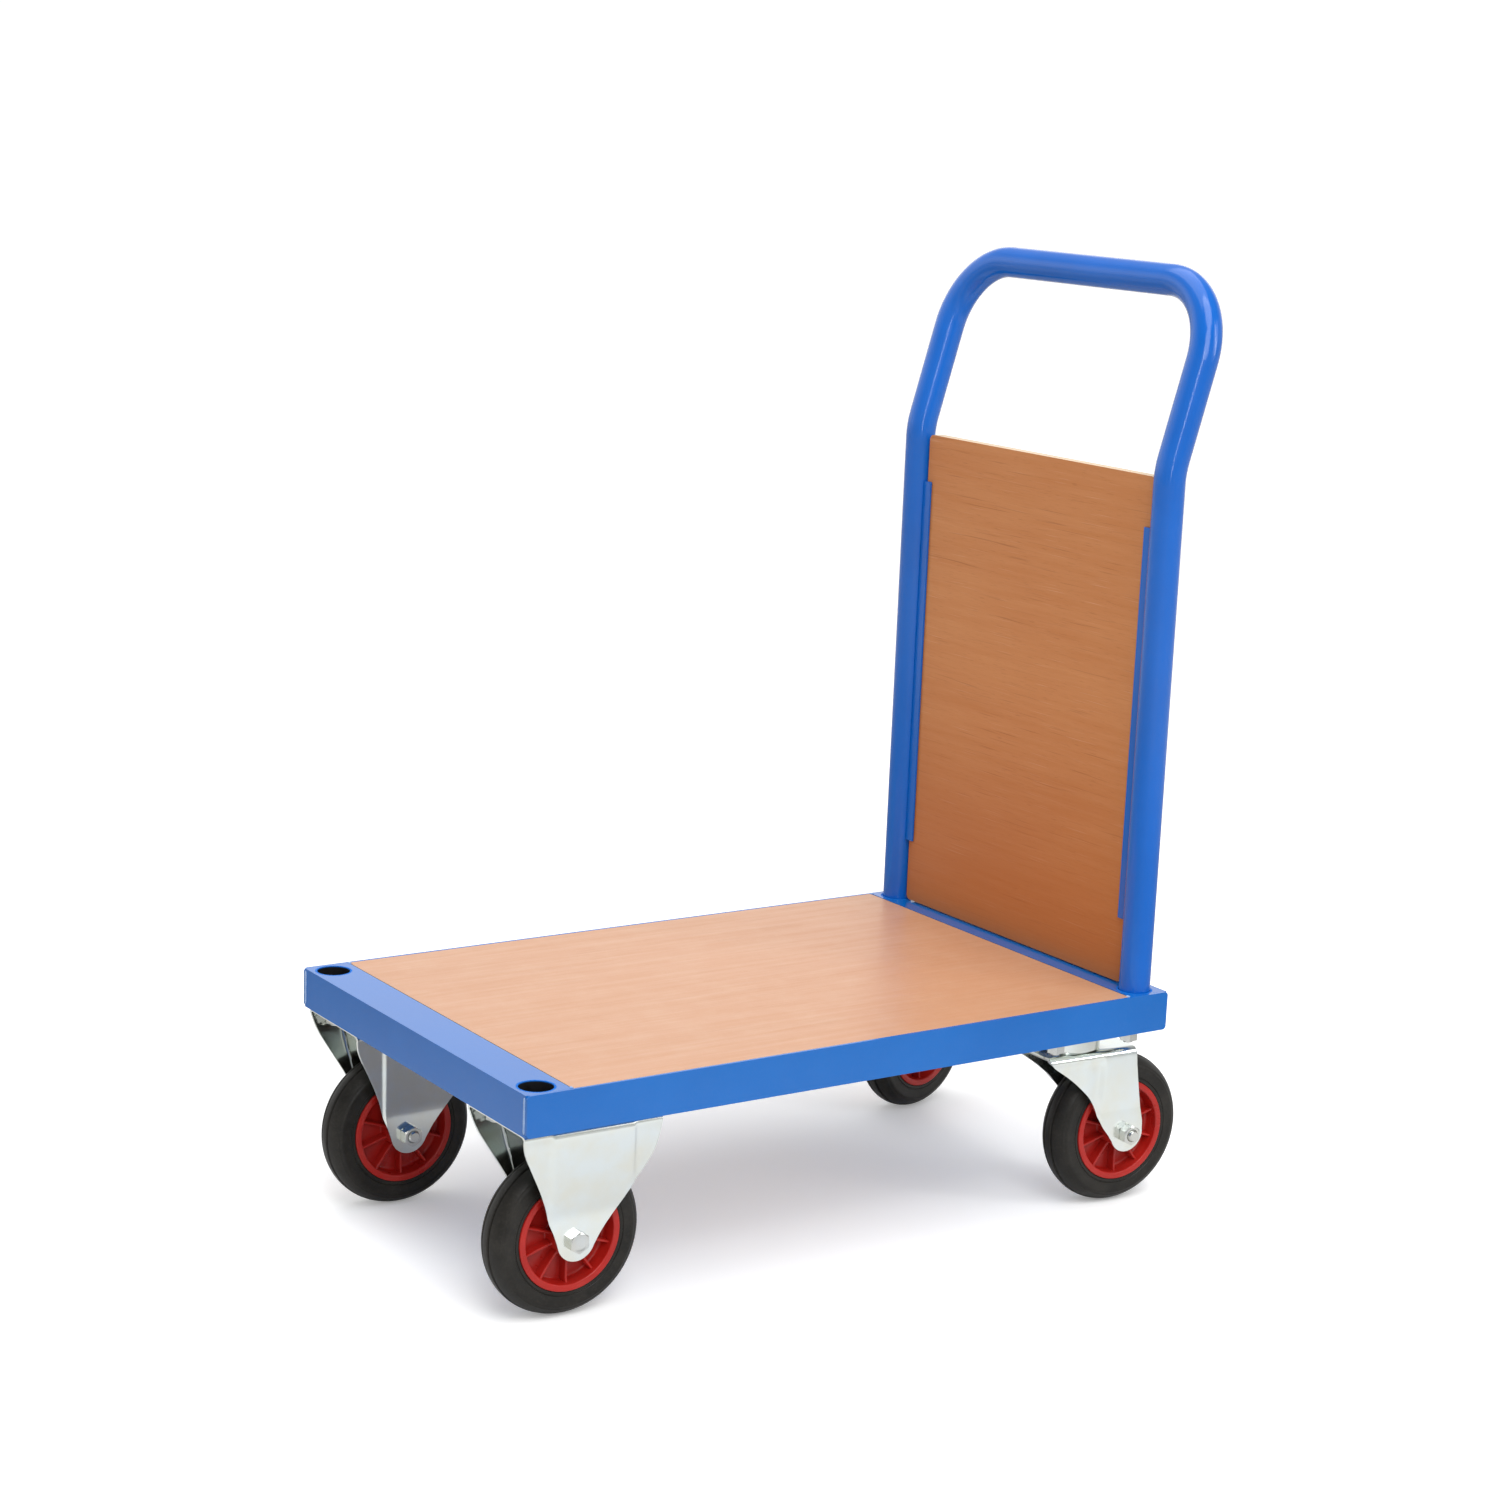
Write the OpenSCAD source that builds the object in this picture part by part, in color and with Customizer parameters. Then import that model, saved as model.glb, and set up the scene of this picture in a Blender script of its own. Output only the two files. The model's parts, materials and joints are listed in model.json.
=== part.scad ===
// Flatbed platform truck: a welded steel frame with a flush plywood deck, a push handle
// end that lifts out of two sockets, two fixed castors and two swivel castors.
// Axes: +X towards the handle end, +Y to the right-hand side of the person pushing, +Z up.
// Origin: on the floor, on the centre line, midway along the overall length.

/* [View] */

/* [Platform] */
// Length of the platform frame, along X
platform_length = 750; // [600:5:1200]
// Width of the platform frame, along Y
platform_width = 460; // [400:5:800]
// Depth of the frame, from the deck surface down
frame_depth = 40; // [36:1:60]
// Thickness of the frame's sheet steel
frame_sheet = 3; // [2:0.5:5]
// Width of the end beams' tops between the rear sockets and the deck board
socket_beam_edge = 3.5; // [1:0.5:30]
// Width of the flange under each side rail
rail_flange = 40; // [36:1:60]
// Radius of the outer corners of the frame's end profile
frame_corner_radius = 4; // [1:0.5:8]
// Width of each cross member, along X
cross_member_width = 30; // [20:1:50]
// Wall of the cross members
cross_member_wall = 2.5; // [1.5:0.5:4]
// Distance between cross members, along X
cross_member_pitch = 190; // [150:5:250]
// Width of the plates the castors bolt to, along X
bearer_width = 102; // [90:1:140]

/* [Deck board] */
// Thickness of the deck board
deck_thickness = 12; // [9:1:18]
// Gap between the deck board and each side rail
deck_side_gap = 0.5; // [0.2:0.1:2]
// Gap between the deck board and the front beam
deck_front_gap = 1; // [0.2:0.1:3]
// Gap between the deck board and the rear beam
deck_rear_gap = 1.5; // [0.2:0.1:3]
// Radius of the deck screws' shanks
deck_screw_radius = 2.25; // [1.5:0.25:3]
// Radius of the deck screws' heads
deck_screw_head_radius = 4.5; // [3:0.25:6]
// Depth the deck screws reach into the board
deck_screw_depth = 8; // [4:0.5:10]
// Distance of the outer deck screws from the centre line
deck_screw_offset = 180; // [100:5:300]

/* [Handle sockets] */
// Diameter of the handle tube
handle_diameter = 32; // [25:0.5:42]
// Radial gap between the handle tube and its socket
socket_gap = 0.5; // [0.1:0.05:1]
// Wall of the socket cups
socket_wall = 2; // [1.5:0.5:4]
// Gap between the socket cups and the castor bolts' heads below them
socket_bolt_gap = 1.6; // [0.5:0.1:10]
// Gap between the front sockets and the front beam's web
front_socket_gap = 0.5; // [0.1:0.1:5]
// Gap between the rear sockets and the rear beam's web
rear_socket_gap = 4.5; // [0.5:0.5:10]
// Gap between the sockets and the side rails' webs
side_socket_gap = 1.5; // [0.5:0.5:30]

/* [Handle end] */
// Wall of the handle tube
handle_wall = 2; // [1.5:0.5:4]
// Height above the deck where the legs start to lean back
handle_straight = 519; // [450:1:800]
// Distance the top of the handle leans back over each lean rise
handle_lean_run = 7; // [1:0.5:16]
// Height over which the top of the handle leans back by the lean run
handle_lean_rise = 24; // [20:1:40]
// Centre-line radius of the bend where the legs lean back
handle_bend_radius = 90; // [60:1:200]
// Length of the straight part between the bend and the top corners
handle_upper_straight = 99; // [20:1:400]
// Centre-line radius of the handle's top corners
handle_corner_radius = 76.6; // [50:0.1:150]

/* [Back panel] */
// Thickness of the back panel
panel_thickness = 12; // [9:1:18]
// Gap between the back panel's bottom edge and the deck
panel_bottom_gap = 2; // [1:0.5:60]
// Height of the back panel
panel_height = 522; // [300:1:600]
// Distance of the panel's front face ahead of the handle legs' axes
panel_ahead = 2; // [0:0.5:6]
// Radius of the panel's corners
panel_corner_radius = 6; // [1:0.5:30]
// Gap between the panel's edge and the bottom of each channel
panel_edge_gap = 1.8; // [0.5:0.1:4]
// Gap between the panel's faces and the channels' flanges
panel_face_gap = 0.5; // [0.2:0.1:1]

/* [Panel channels] */
// Wall of the channels that hold the panel
channel_wall = 2; // [1:0.5:3]
// Width of the channels' flanges, across the truck
channel_flange = 12; // [8:0.5:25]
// Height of the channels' lower ends above the deck
channel_bottom = 70; // [10:1:150]
// Length of the channels
channel_length = 403; // [200:1:450]
// Gap between the channel and the leg beside it
channel_leg_gap = 0.2; // [0.1:0.1:1]
// Length of each weld that joins a channel to its leg
weld_length = 30; // [15:1:60]
// Radius of the panel screws' shanks
panel_screw_radius = 2; // [1.5:0.25:3]
// Radius of the panel screws' heads
panel_screw_head_radius = 3.8; // [3:0.1:5]
// Height of the panel screws' heads
panel_screw_head = 2.2; // [1:0.1:4]
// Depth the panel screws reach into the panel
panel_screw_depth = 8; // [4:0.5:10]
// Distance from each channel's ends to its outer screws
panel_screw_inset = 40; // [20:1:100]

/* [Wheels] */
// Radius of the wheels
wheel_radius = 80; // [60:1:100]
// Width of the tyres
tyre_width = 38; // [30:1:50]
// Radius of the crown of the tread's cross-section
tyre_crown = 23; // [20:0.5:60]
// Radius where the tyre meets the wheel centre
rim_radius = 53.5; // [40:0.5:60]
// Width of the wheel centre's rim
rim_width = 39.8; // [30:0.1:52]
// Radial thickness of the wheel centre's rim
rim_thickness = 6.5; // [4:0.5:10]
// Thickness of the wheel centre's web
web_thickness = 7; // [4:0.5:12]
// Number of ribs in the wheel centre
rib_count = 10; // [6:1:16]
// Thickness of the ribs
rib_thickness = 3; // [2:0.5:5]
// Depth of the ribs below the rim's face
rib_depth = 5; // [2:0.5:10]
// Radius of the wheel centre's hub
hub_radius = 17; // [15:0.5:24]
// Length of the wheel centre's hub
hub_length = 43; // [40:0.5:52]
// Distance of the two tread grooves from the middle of the tread
groove_offset = 5.5; // [3:0.5:10]
// Width of the tread grooves
groove_width = 1.4; // [0.6:0.1:3]
// Depth of the tread grooves
groove_depth = 1.4; // [0.6:0.1:3]

/* [Wheel bearings] */
// Outer radius of the axle sleeves
sleeve_radius = 8; // [7.5:0.25:10]
// Outer radius of the roller bearings
bearing_radius = 12; // [11:0.25:14]
// Number of rollers in each bearing
roller_count = 12; // [8:1:16]
// Radial gap between rollers and axle sleeve
bearing_gap = 0.06; // [0.01:0.01:0.1]
// Length of the roller bearings
bearing_length = 40; // [30:1:43]
// Radius of the spacers beside the hub
spacer_radius = 14; // [12:0.5:18]
// Side gap between the hub and each spacer
hub_side_gap = 0.3; // [0.1:0.1:1]

/* [Axle bolts] */
// Radius of the axle bolts
axle_radius = 6; // [5:0.5:8]
// Gap between an axle bolt and the holes it passes through
axle_gap = 0.1; // [0.05:0.05:0.5]
// Width across the flats of the axle bolts and nuts
axle_flats = 19; // [17:1:24]
// Height of the axle bolts' heads
axle_head = 7.5; // [5:0.5:12]
// Height of the axle nuts
axle_nut = 10; // [8:0.5:14]
// Length of each axle bolt's end beyond its nut
axle_end = 3; // [1:0.5:6]

/* [Castor plates and bolts] */
// Thickness of the castors' top plates
castor_plate = 4; // [3:0.5:6]
// Width of the castors' top plates, across the truck
castor_plate_width = 110; // [100:1:140]
// Length of the fixed castors' top plates
fixed_plate_length = 146; // [130:1:160]
// Length of the swivel castors' top plates
swivel_plate_length = 116; // [110:1:140]
// Hole spacing along the fixed castors' plates
fixed_hole_length = 105; // [90:1:120]
// Hole spacing along the swivel castors' plates
swivel_hole_length = 96; // [90:1:100]
// Hole spacing across the fixed castors' plates
fixed_hole_width = 75; // [60:1:85]
// Hole spacing across the swivel castors' plates
swivel_hole_width = 80; // [70:1:85]
// Radius of the castor bolts
castor_bolt_radius = 5; // [4:0.5:6]
// Gap between a castor bolt and the holes it passes through
castor_bolt_gap = 0.5; // [0.2:0.1:1]
// Width across the flats of the castor bolts and nuts
castor_bolt_flats = 17; // [13:1:19]
// Height of the castor bolts' heads
castor_bolt_head = 6.4; // [4:0.1:8]
// Height of the castor nuts
castor_nut = 8; // [5:0.5:10]
// Thickness of the castor washers
castor_washer = 2; // [1:0.25:3]
// Radius of the castor washers
castor_washer_radius = 10; // [9:0.5:13]
// Length of each castor bolt's end beyond its nut
castor_bolt_end = 2.5; // [1:0.5:6]

/* [Fixed castors] */
// Distance from the front end to the fixed castors' axles
front_axle_inset = 73.4; // [72:0.1:120]
// Distance from each side to the fixed castors' centre planes
fixed_castor_inset = 62; // [56:1:120]
// Distance from the axle to the middle of the fixed castor's plate
fixed_plate_offset = 2.5; // [0:0.5:5]
// Thickness of the pressed forks
fork_sheet = 3; // [2:0.5:5]
// Distance from the centre plane to a fixed fork leg's outer face, near the axle
fixed_fork_half = 31; // [29:0.5:40]
// Height above the axle where the fixed fork's legs start to lean out
fixed_fork_straight = 25; // [22:1:40]
// Radius of the rounded foot of each fork leg
fork_foot_radius = 20; // [16:0.5:26]

/* [Swivel castors] */
// Gap between the tops of the wheels and the swivel forks' crowns
wheel_crown_gap = 11; // [8:0.5:60]
// Distance from the rear end to the swivel axes
swivel_inset = 75; // [60:1:120]
// Distance from each side to the swivel axes
swivel_side_inset = 66; // [56:1:120]
// Distance from the swivel axis to the wheel's axle
trail = 62; // [40:1:80]
// Angle the left swivel castor rests at
left_yaw = -2.5; // [-180:0.5:180]
// Angle the right swivel castor rests at
right_yaw = 15; // [-180:0.5:180]
// Distance from the centre plane to a swivel fork leg's outer face, near the axle
swivel_fork_half = 31; // [29:0.5:40]
// Distance from the centre plane to the swivel fork's crown edge
crown_half = 36; // [33:0.5:50]
// Height of the swivel head, from the top of its plate to the top of the fork's crown
swivel_head = 25; // [22:0.5:32]
// Thickness of the swivel forks' crowns
crown_sheet = 4; // [3:0.5:6]
// Length of the crown ahead of the swivel axis
crown_front = 47; // [40:1:60]
// Radius of the crown's front corners
crown_corner = 14; // [4:1:20]
// Radius of the ball race's housing
race_radius = 34; // [30:0.5:45]
// Wall of the ball race's housing
race_wall = 3; // [2:0.5:5]
// Thickness of the upper race
upper_race = 6; // [4:0.5:8]
// Gap between the race's housing and the crown
race_gap = 2; // [1:0.25:3]
// Radius of the balls
ball_radius = 3.5; // [3:0.25:4.5]
// Running gap above and below the balls
ball_gap = 0.05; // [0.02:0.01:0.2]
// Radius of the circle of balls
ball_circle = 23; // [18:0.5:30]
// Number of balls in each swivel head
ball_count = 14; // [8:1:18]
// Radius of the kingpins
kingpin_radius = 6; // [5:0.5:8]
// Radial gap between a kingpin and the fork it carries
kingpin_gap = 0.06; // [0.01:0.01:0.1]
// Gap between a kingpin's nut and the crown above it
kingpin_nut_gap = 0.2; // [0.1:0.1:0.5]

/* [Hidden] */
$fn = 64;
eps = 0.5;

// Height of the deck surface above the floor
frame_bottom = 2 * wheel_radius + wheel_crown_gap + crown_sheet + swivel_head;
deck_height = frame_bottom + frame_depth;
flange_top = frame_bottom + frame_sheet;
fork_top = frame_bottom - castor_plate;
axle_z = wheel_radius;
side_y = platform_width / 2;
web_y = side_y - frame_sheet;
flange_y = side_y - rail_flange;

// Where the truck's overall length starts and ends, from the middle of the platform
crown_centre = wheel_radius - tyre_crown;
front_reach = platform_length / 2 - front_axle_inset + wheel_radius;
swivel_from_middle = platform_length / 2 - swivel_inset;
reach_per_yaw = (trail + crown_centre) * max(cos(left_yaw), cos(right_yaw));
rear_reach = swivel_from_middle + reach_per_yaw + tyre_crown;
middle_x = round(50 * (front_reach - rear_reach)) / 100;
front_x = middle_x - platform_length / 2;
rear_x = middle_x + platform_length / 2;
socket_outer = handle_diameter / 2 + socket_gap + socket_wall;
end_beam_width = frame_sheet + rear_socket_gap + 2 * socket_outer + socket_beam_edge;
beam_inner_front = front_x + end_beam_width;
beam_inner_rear = rear_x - end_beam_width;

// Handle sockets
handle_radius = handle_diameter / 2;
socket_bore = handle_radius + socket_gap;
socket_y = web_y - side_socket_gap - socket_outer;
front_socket_x = front_x + frame_sheet + front_socket_gap + socket_outer;
rear_socket_x = rear_x - frame_sheet - rear_socket_gap - socket_outer;
socket_height = frame_depth - frame_sheet - castor_bolt_head - socket_bolt_gap;
socket_floor = deck_height - socket_height + socket_wall;

// Handle
leg_x = rear_socket_x;
leg_y = socket_y;
bend_z = deck_height + handle_straight;
handle_lean = atan2(handle_lean_run, handle_lean_rise);
slant = handle_upper_straight + handle_corner_radius;

// Back panel and channels
channel_outer_y = leg_y - handle_radius - channel_leg_gap;
channel_base_y = channel_outer_y - channel_wall;
panel_half = channel_base_y - panel_edge_gap;
panel_x = leg_x - panel_ahead;
panel_z = deck_height + panel_bottom_gap;
channel_x = panel_x - panel_face_gap - channel_wall;
channel_depth = panel_thickness + 2 * panel_face_gap + 2 * channel_wall;
channel_z = deck_height + channel_bottom;
screw_y = channel_outer_y - channel_flange + panel_screw_head_radius + 0.6;

// Castors
fixed_y = side_y - fixed_castor_inset;
swivel_y = side_y - swivel_side_inset;
fixed_x = front_x + front_axle_inset;
fixed_plate_x = fixed_x + fixed_plate_offset;
swivel_x = rear_x - swivel_inset;
crown_top = frame_bottom - swivel_head;
crown_bottom = crown_top - crown_sheet;
race_bottom = fork_top - upper_race;
lower_race_top = race_bottom - 2 * ball_radius - 2 * ball_gap;
crown_rear = trail + 2;
fixed_fork_inner = fixed_fork_half - fork_sheet;
swivel_fork_inner = swivel_fork_half - fork_sheet;
spacer_start = hub_length / 2 + hub_side_gap;
bolt_hole = castor_bolt_radius + castor_bolt_gap;
axle_hole = axle_radius + axle_gap;

blue = [0.08, 0.28, 0.68];
zinc = [0.78, 0.80, 0.80];
black = [0.07, 0.07, 0.07];
red = [0.72, 0.10, 0.08];
deck_wood = [0.86, 0.68, 0.50];
panel_wood = [0.74, 0.48, 0.28];

// Cuts and fasteners ---------------------------------------------------------

// A box given by its two opposite corners
module box(a, b) {
  translate(a) cube([b[0] - a[0], b[1] - a[1], b[2] - a[2]]);
}

// A hexagonal prism standing on the XY plane
module hex(flats, height) {
  cylinder(r = flats / sqrt(3), h = height, $fn = 6);
}

// A ring standing on the XY plane
module ring(outer, inner, height) {
  difference() {
    cylinder(r = outer, h = height);
    translate([0, 0, -eps]) cylinder(r = inner, h = height + 2 * eps);
  }
}

// Places its children at the four holes of a castor plate
module at_holes(x, y, length, width) {
  for (dx = [-length / 2, length / 2])
    for (dy = [-width / 2, width / 2])
      translate([x + dx, y + dy, 0]) children();
}

// Places its children at every castor bolt
module at_castor_bolts() {
  for (s = [-1, 1]) {
    at_holes(fixed_plate_x, s * fixed_y, fixed_hole_length, fixed_hole_width) children();
    at_holes(swivel_x, s * swivel_y, swivel_hole_length, swivel_hole_width) children();
  }
}

// The castor bolts' holes through the frame's bottom sheet
module castor_bolt_holes() {
  at_castor_bolts()
    translate([0, 0, frame_bottom - eps]) cylinder(r = bolt_hole, h = frame_sheet + 2 * eps);
}

// Places its children at every cross member
module at_cross_members() {
  for (i = [-1, 0, 1])
    translate([middle_x + i * cross_member_pitch, 0, 0]) children();
}

// Places its children at every deck screw
module at_deck_screws() {
  at_cross_members()
    for (j = [-1, 0, 1])
      translate([0, j * deck_screw_offset, 0]) children();
}

// Frame ----------------------------------------------------------------------

// Folded end beam: web at the end, flanges towards the middle; end is -1 or 1
module end_beam(end) {
  outer = end < 0 ? front_x : rear_x;
  inner = end < 0 ? beam_inner_front : beam_inner_rear;
  near = min(outer, inner);
  far = max(outer, inner);
  sockets = end < 0 ? front_socket_x : rear_socket_x;
  difference() {
    box([near, -web_y, frame_bottom], [far, web_y, deck_height]);
    box([end < 0 ? near + frame_sheet : near - eps, -web_y - eps, flange_top],
      [end < 0 ? far + eps : far - frame_sheet, web_y + eps, deck_height - frame_sheet]);
    for (s = [-1, 1])
      translate([sockets, s * socket_y, deck_height - frame_sheet - eps])
        cylinder(r = socket_outer, h = frame_sheet + 2 * eps);
    castor_bolt_holes();
  }
}

// The outline of a side rail's web, seen from the side
module rail_web_outline() {
  r = frame_corner_radius;
  translate([front_x + r, 0]) square([platform_length - 2 * r, frame_depth]);
  translate([front_x, r]) square([platform_length, frame_depth - 2 * r]);
  for (x = [front_x + r, rear_x - r])
    for (z = [r, frame_depth - r])
      translate([x, z]) circle(r = r);
}

// Angle rail along one side; side is -1 or 1
module side_rail(side) {
  lower = min(side * flange_y, side * web_y);
  translate([0, side > 0 ? side_y : -web_y, frame_bottom])
    rotate([90, 0, 0]) linear_extrude(frame_sheet) rail_web_outline();
  difference() {
    box([beam_inner_front, lower, frame_bottom],
      [beam_inner_rear, lower + web_y - flange_y, flange_top]);
    castor_bolt_holes();
  }
}

// Three box-section members between the rails' flanges and the deck board
module cross_members() {
  top = deck_height - deck_thickness;
  w = cross_member_wall;
  half = cross_member_width / 2;
  color(blue) difference() {
    at_cross_members() box([-half, -web_y, flange_top], [half, web_y, top]);
    at_cross_members() box([-half + w, -web_y - eps, flange_top + w], [half - w, web_y + eps, top - w]);
    at_deck_screws() translate([0, 0, top - w - eps])
      cylinder(r = deck_screw_radius + 0.1, h = w + 2 * eps);
    at_deck_screws() translate([0, 0, flange_top - eps])
      cylinder(r = deck_screw_head_radius + 1.5, h = w + 2 * eps);
  }
}

// Plate between the rails' flanges that the castors' inner bolts pass through
module castor_bearer(end) {
  near = end < 0 ? beam_inner_front : beam_inner_rear - bearer_width;
  difference() {
    box([near, -flange_y, frame_bottom], [near + bearer_width, flange_y, flange_top]);
    castor_bolt_holes();
  }
}

// Closed cup that a handle leg drops into
module socket_cup(x, y) {
  color(blue) translate([x, y, 0]) difference() {
    translate([0, 0, deck_height - socket_height]) cylinder(r = socket_outer, h = socket_height);
    translate([0, 0, socket_floor]) cylinder(r = socket_bore, h = socket_height);
  }
}

// Deck -----------------------------------------------------------------------

module deck_board() {
  bottom = deck_height - deck_thickness;
  color(deck_wood) difference() {
    box([beam_inner_front + deck_front_gap, -web_y + deck_side_gap, bottom],
      [beam_inner_rear - deck_rear_gap, web_y - deck_side_gap, deck_height]);
    at_deck_screws() translate([0, 0, bottom - eps])
      cylinder(r = deck_screw_radius + 0.1, h = deck_screw_depth + 1 + eps);
  }
}

// Screws from below, through each cross member's top wall
module deck_screws() {
  under = deck_height - deck_thickness - cross_member_wall;
  color(zinc) at_deck_screws() {
    translate([0, 0, under - 3]) cylinder(r = deck_screw_head_radius, h = 3);
    translate([0, 0, under - eps])
      cylinder(r = deck_screw_radius, h = cross_member_wall + deck_screw_depth + eps);
  }
}

// Castor bolts ---------------------------------------------------------------

module castor_bolts() {
  length = frame_sheet + castor_plate + castor_washer + castor_nut + castor_bolt_end;
  color(zinc) at_castor_bolts() {
    translate([0, 0, flange_top]) hex(castor_bolt_flats, castor_bolt_head);
    translate([0, 0, flange_top - length]) cylinder(r = castor_bolt_radius, h = length + eps);
  }
}

module castor_washers() {
  color(zinc) at_castor_bolts()
    translate([0, 0, fork_top - castor_washer])
      ring(castor_washer_radius, castor_bolt_radius + 0.2, castor_washer);
}

module castor_nuts() {
  color(zinc) at_castor_bolts()
    translate([0, 0, fork_top - castor_washer - castor_nut]) difference() {
      hex(castor_bolt_flats, castor_nut);
      translate([0, 0, -eps]) cylinder(r = castor_bolt_radius, h = castor_nut + 2 * eps);
    }
}

// Axle sets, drawn about an axle along Y; out is the side its head is on ---------

module axle_bolt(half, out) {
  length = 2 * half + axle_nut + axle_end;
  rotate([out > 0 ? 90 : -90, 0, 0]) {
    translate([0, 0, -half - axle_head]) hex(axle_flats, axle_head);
    translate([0, 0, -half - eps]) cylinder(r = axle_radius, h = length + eps);
  }
}

module axle_nut_at(half, out) {
  rotate([out > 0 ? 90 : -90, 0, 0]) translate([0, 0, half]) difference() {
    hex(axle_flats, axle_nut);
    translate([0, 0, -eps]) cylinder(r = axle_radius, h = axle_nut + 2 * eps);
  }
}

module axle_sleeve(inner) {
  rotate([90, 0, 0]) translate([0, 0, -inner]) ring(sleeve_radius, axle_hole, 2 * inner);
}

module axle_spacers(inner) {
  for (s = [-1, 1])
    rotate([s * 90, 0, 0]) translate([0, 0, spacer_start])
      ring(spacer_radius, sleeve_radius + 0.05, inner - spacer_start);
}

// Wheels, drawn about an axle along Y --------------------------------------------

// Cross-section of the tyre: x is the radius, y is along the axle
module tyre_section() {
  difference() {
    intersection() {
      translate([crown_centre, 0]) circle(r = tyre_crown, $fn = 96);
      translate([rim_radius, -tyre_width / 2]) square([tyre_crown * 2, tyre_width]);
    }
    for (s = [-1, 1])
      translate([groove_edge, s * groove_offset - groove_width / 2])
        square([tyre_crown, groove_width]);
  }
}
groove_edge = crown_centre + sqrt(pow(tyre_crown, 2) - pow(groove_offset, 2)) - groove_depth;

module tyre() {
  color(black) rotate([90, 0, 0]) rotate_extrude($fn = 128) tyre_section();
}

module wheel_centre() {
  half = rim_width / 2;
  reach = rim_radius - rim_thickness - hub_radius + 2;
  color(red) rotate([90, 0, 0]) {
    rotate_extrude($fn = 128) {
      translate([rim_radius - rim_thickness, -half]) square([rim_thickness, 2 * half]);
      translate([bearing_radius, -hub_length / 2])
        square([hub_radius - bearing_radius, hub_length]);
      translate([hub_radius - 1, -web_thickness / 2]) square([reach, web_thickness]);
    }
    for (i = [0 : rib_count - 1])
      rotate([0, 0, (i + 0.5) * 360 / rib_count])
        translate([hub_radius - 1, -rib_thickness / 2, -half + rib_depth])
          cube([reach, rib_thickness, 2 * (half - rib_depth)]);
  }
}

// Cage and rollers between the hub and the axle sleeve
module roller_bearing() {
  inner = sleeve_radius + bearing_gap;
  roller = (bearing_radius - inner) / 2;
  pitch = (bearing_radius + inner) / 2;
  half = bearing_length / 2;
  color(zinc) rotate([90, 0, 0]) {
    for (s = [-1, 1])
      translate([0, 0, s > 0 ? half - 3 : -half])
        ring(bearing_radius - 0.02, inner + 0.02, 3);
    for (i = [0 : roller_count - 1])
      rotate([0, 0, i * 360 / roller_count]) translate([pitch, 0, -half + 2.9])
        cylinder(r = roller, h = 2 * half - 5.8);
  }
}

// Fixed castors ----------------------------------------------------------------

// A leg's outline beside its axle: x along the truck, y up from the axle.
// Edge points are [distance from the axle, share of the height to the top].
module leg_outline(front_edge, rear_edge, height) {
  f = fork_foot_radius;
  front = [for (p = front_edge) [p[0], p[1] * height]];
  rear = [for (p = rear_edge) [p[0], p[1] * height]];
  polygon(concat(front, [[-0.93 * f, -0.3 * f], [0, 0], [0.86 * f, -0.47 * f]], rear));
  circle(r = f);
}

// Side view of the fixed forks' legs
fixed_front_edge = [[-70.5, 1], [-67, 0.862], [-60.5, 0.75], [-43, 0.483],
  [-33, 0.302], [-27.5, 0.155]];
fixed_rear_edge = [[27.5, 0.069], [43.5, 0.233], [55, 0.405], [67, 0.578], [74, 0.724],
  [75.5, 0.853], [75.5, 1]];

// End view of one leg: straight beside the wheel, leaning out to the edge above it
module leg_section(outer, lean_start, top_outer, top) {
  drop = fork_foot_radius + 1;
  t = fork_sheet;
  slope = (top_outer - outer) / (top - lean_start);
  side = t * sqrt(1 + slope * slope);
  polygon([[outer, -drop], [outer, lean_start], [top_outer, top], [top_outer - side, top],
    [outer - t, lean_start + (side - t) / slope], [outer - t, -drop]]);
}

module fixed_fork(y) {
  height = fork_top - axle_z;
  plate_half = castor_plate_width / 2;
  color(zinc) difference() {
    union() {
      translate([fixed_x, y, axle_z])
        for (s = [-1, 1]) intersection() {
          translate([0, castor_plate_width, 0]) rotate([90, 0, 0])
            linear_extrude(2 * castor_plate_width)
              leg_outline(fixed_front_edge, fixed_rear_edge, height);
          rotate([90, 0, 90]) translate([0, 0, -fixed_plate_length])
            linear_extrude(2 * fixed_plate_length)
              mirror([s < 0 ? 1 : 0, 0])
                leg_section(fixed_fork_half, fixed_fork_straight, plate_half, height);
        }
      box([fixed_plate_x - fixed_plate_length / 2, y - plate_half, fork_top],
        [fixed_plate_x + fixed_plate_length / 2, y + plate_half, frame_bottom]);
    }
    translate([fixed_x, y - plate_half, axle_z]) rotate([-90, 0, 0])
      cylinder(r = axle_hole, h = 2 * plate_half);
    at_holes(fixed_plate_x, y, fixed_hole_length, fixed_hole_width)
      translate([0, 0, fork_top - eps]) cylinder(r = bolt_hole, h = castor_plate + 2 * eps);
  }
}

module front_axle_bolts() {
  color(zinc) for (s = [-1, 1])
    translate([fixed_x, s * fixed_y, axle_z]) axle_bolt(fixed_fork_half, s);
}

module front_axle_nuts() {
  color(zinc) for (s = [-1, 1])
    translate([fixed_x, s * fixed_y, axle_z]) axle_nut_at(fixed_fork_half, s);
}

module front_axle_sleeves() {
  color(zinc) for (s = [-1, 1])
    translate([fixed_x, s * fixed_y, axle_z]) axle_sleeve(fixed_fork_inner);
}

module front_axle_spacers() {
  color(black) for (s = [-1, 1])
    translate([fixed_x, s * fixed_y, axle_z]) axle_spacers(fixed_fork_inner);
}

// Swivel castors ---------------------------------------------------------------

// Moves its children to a swivel axis, turned to the castor's resting angle
module at_swivel(side, turned) {
  yaw = side < 0 ? left_yaw : right_yaw;
  translate([swivel_x, side * swivel_y, 0]) rotate([0, 0, turned ? yaw : 0]) children();
}

// Moves its children to a swivel castor's axle
module at_rear_axle(side) {
  at_swivel(side, true) translate([trail, 0, axle_z]) children();
}

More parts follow.
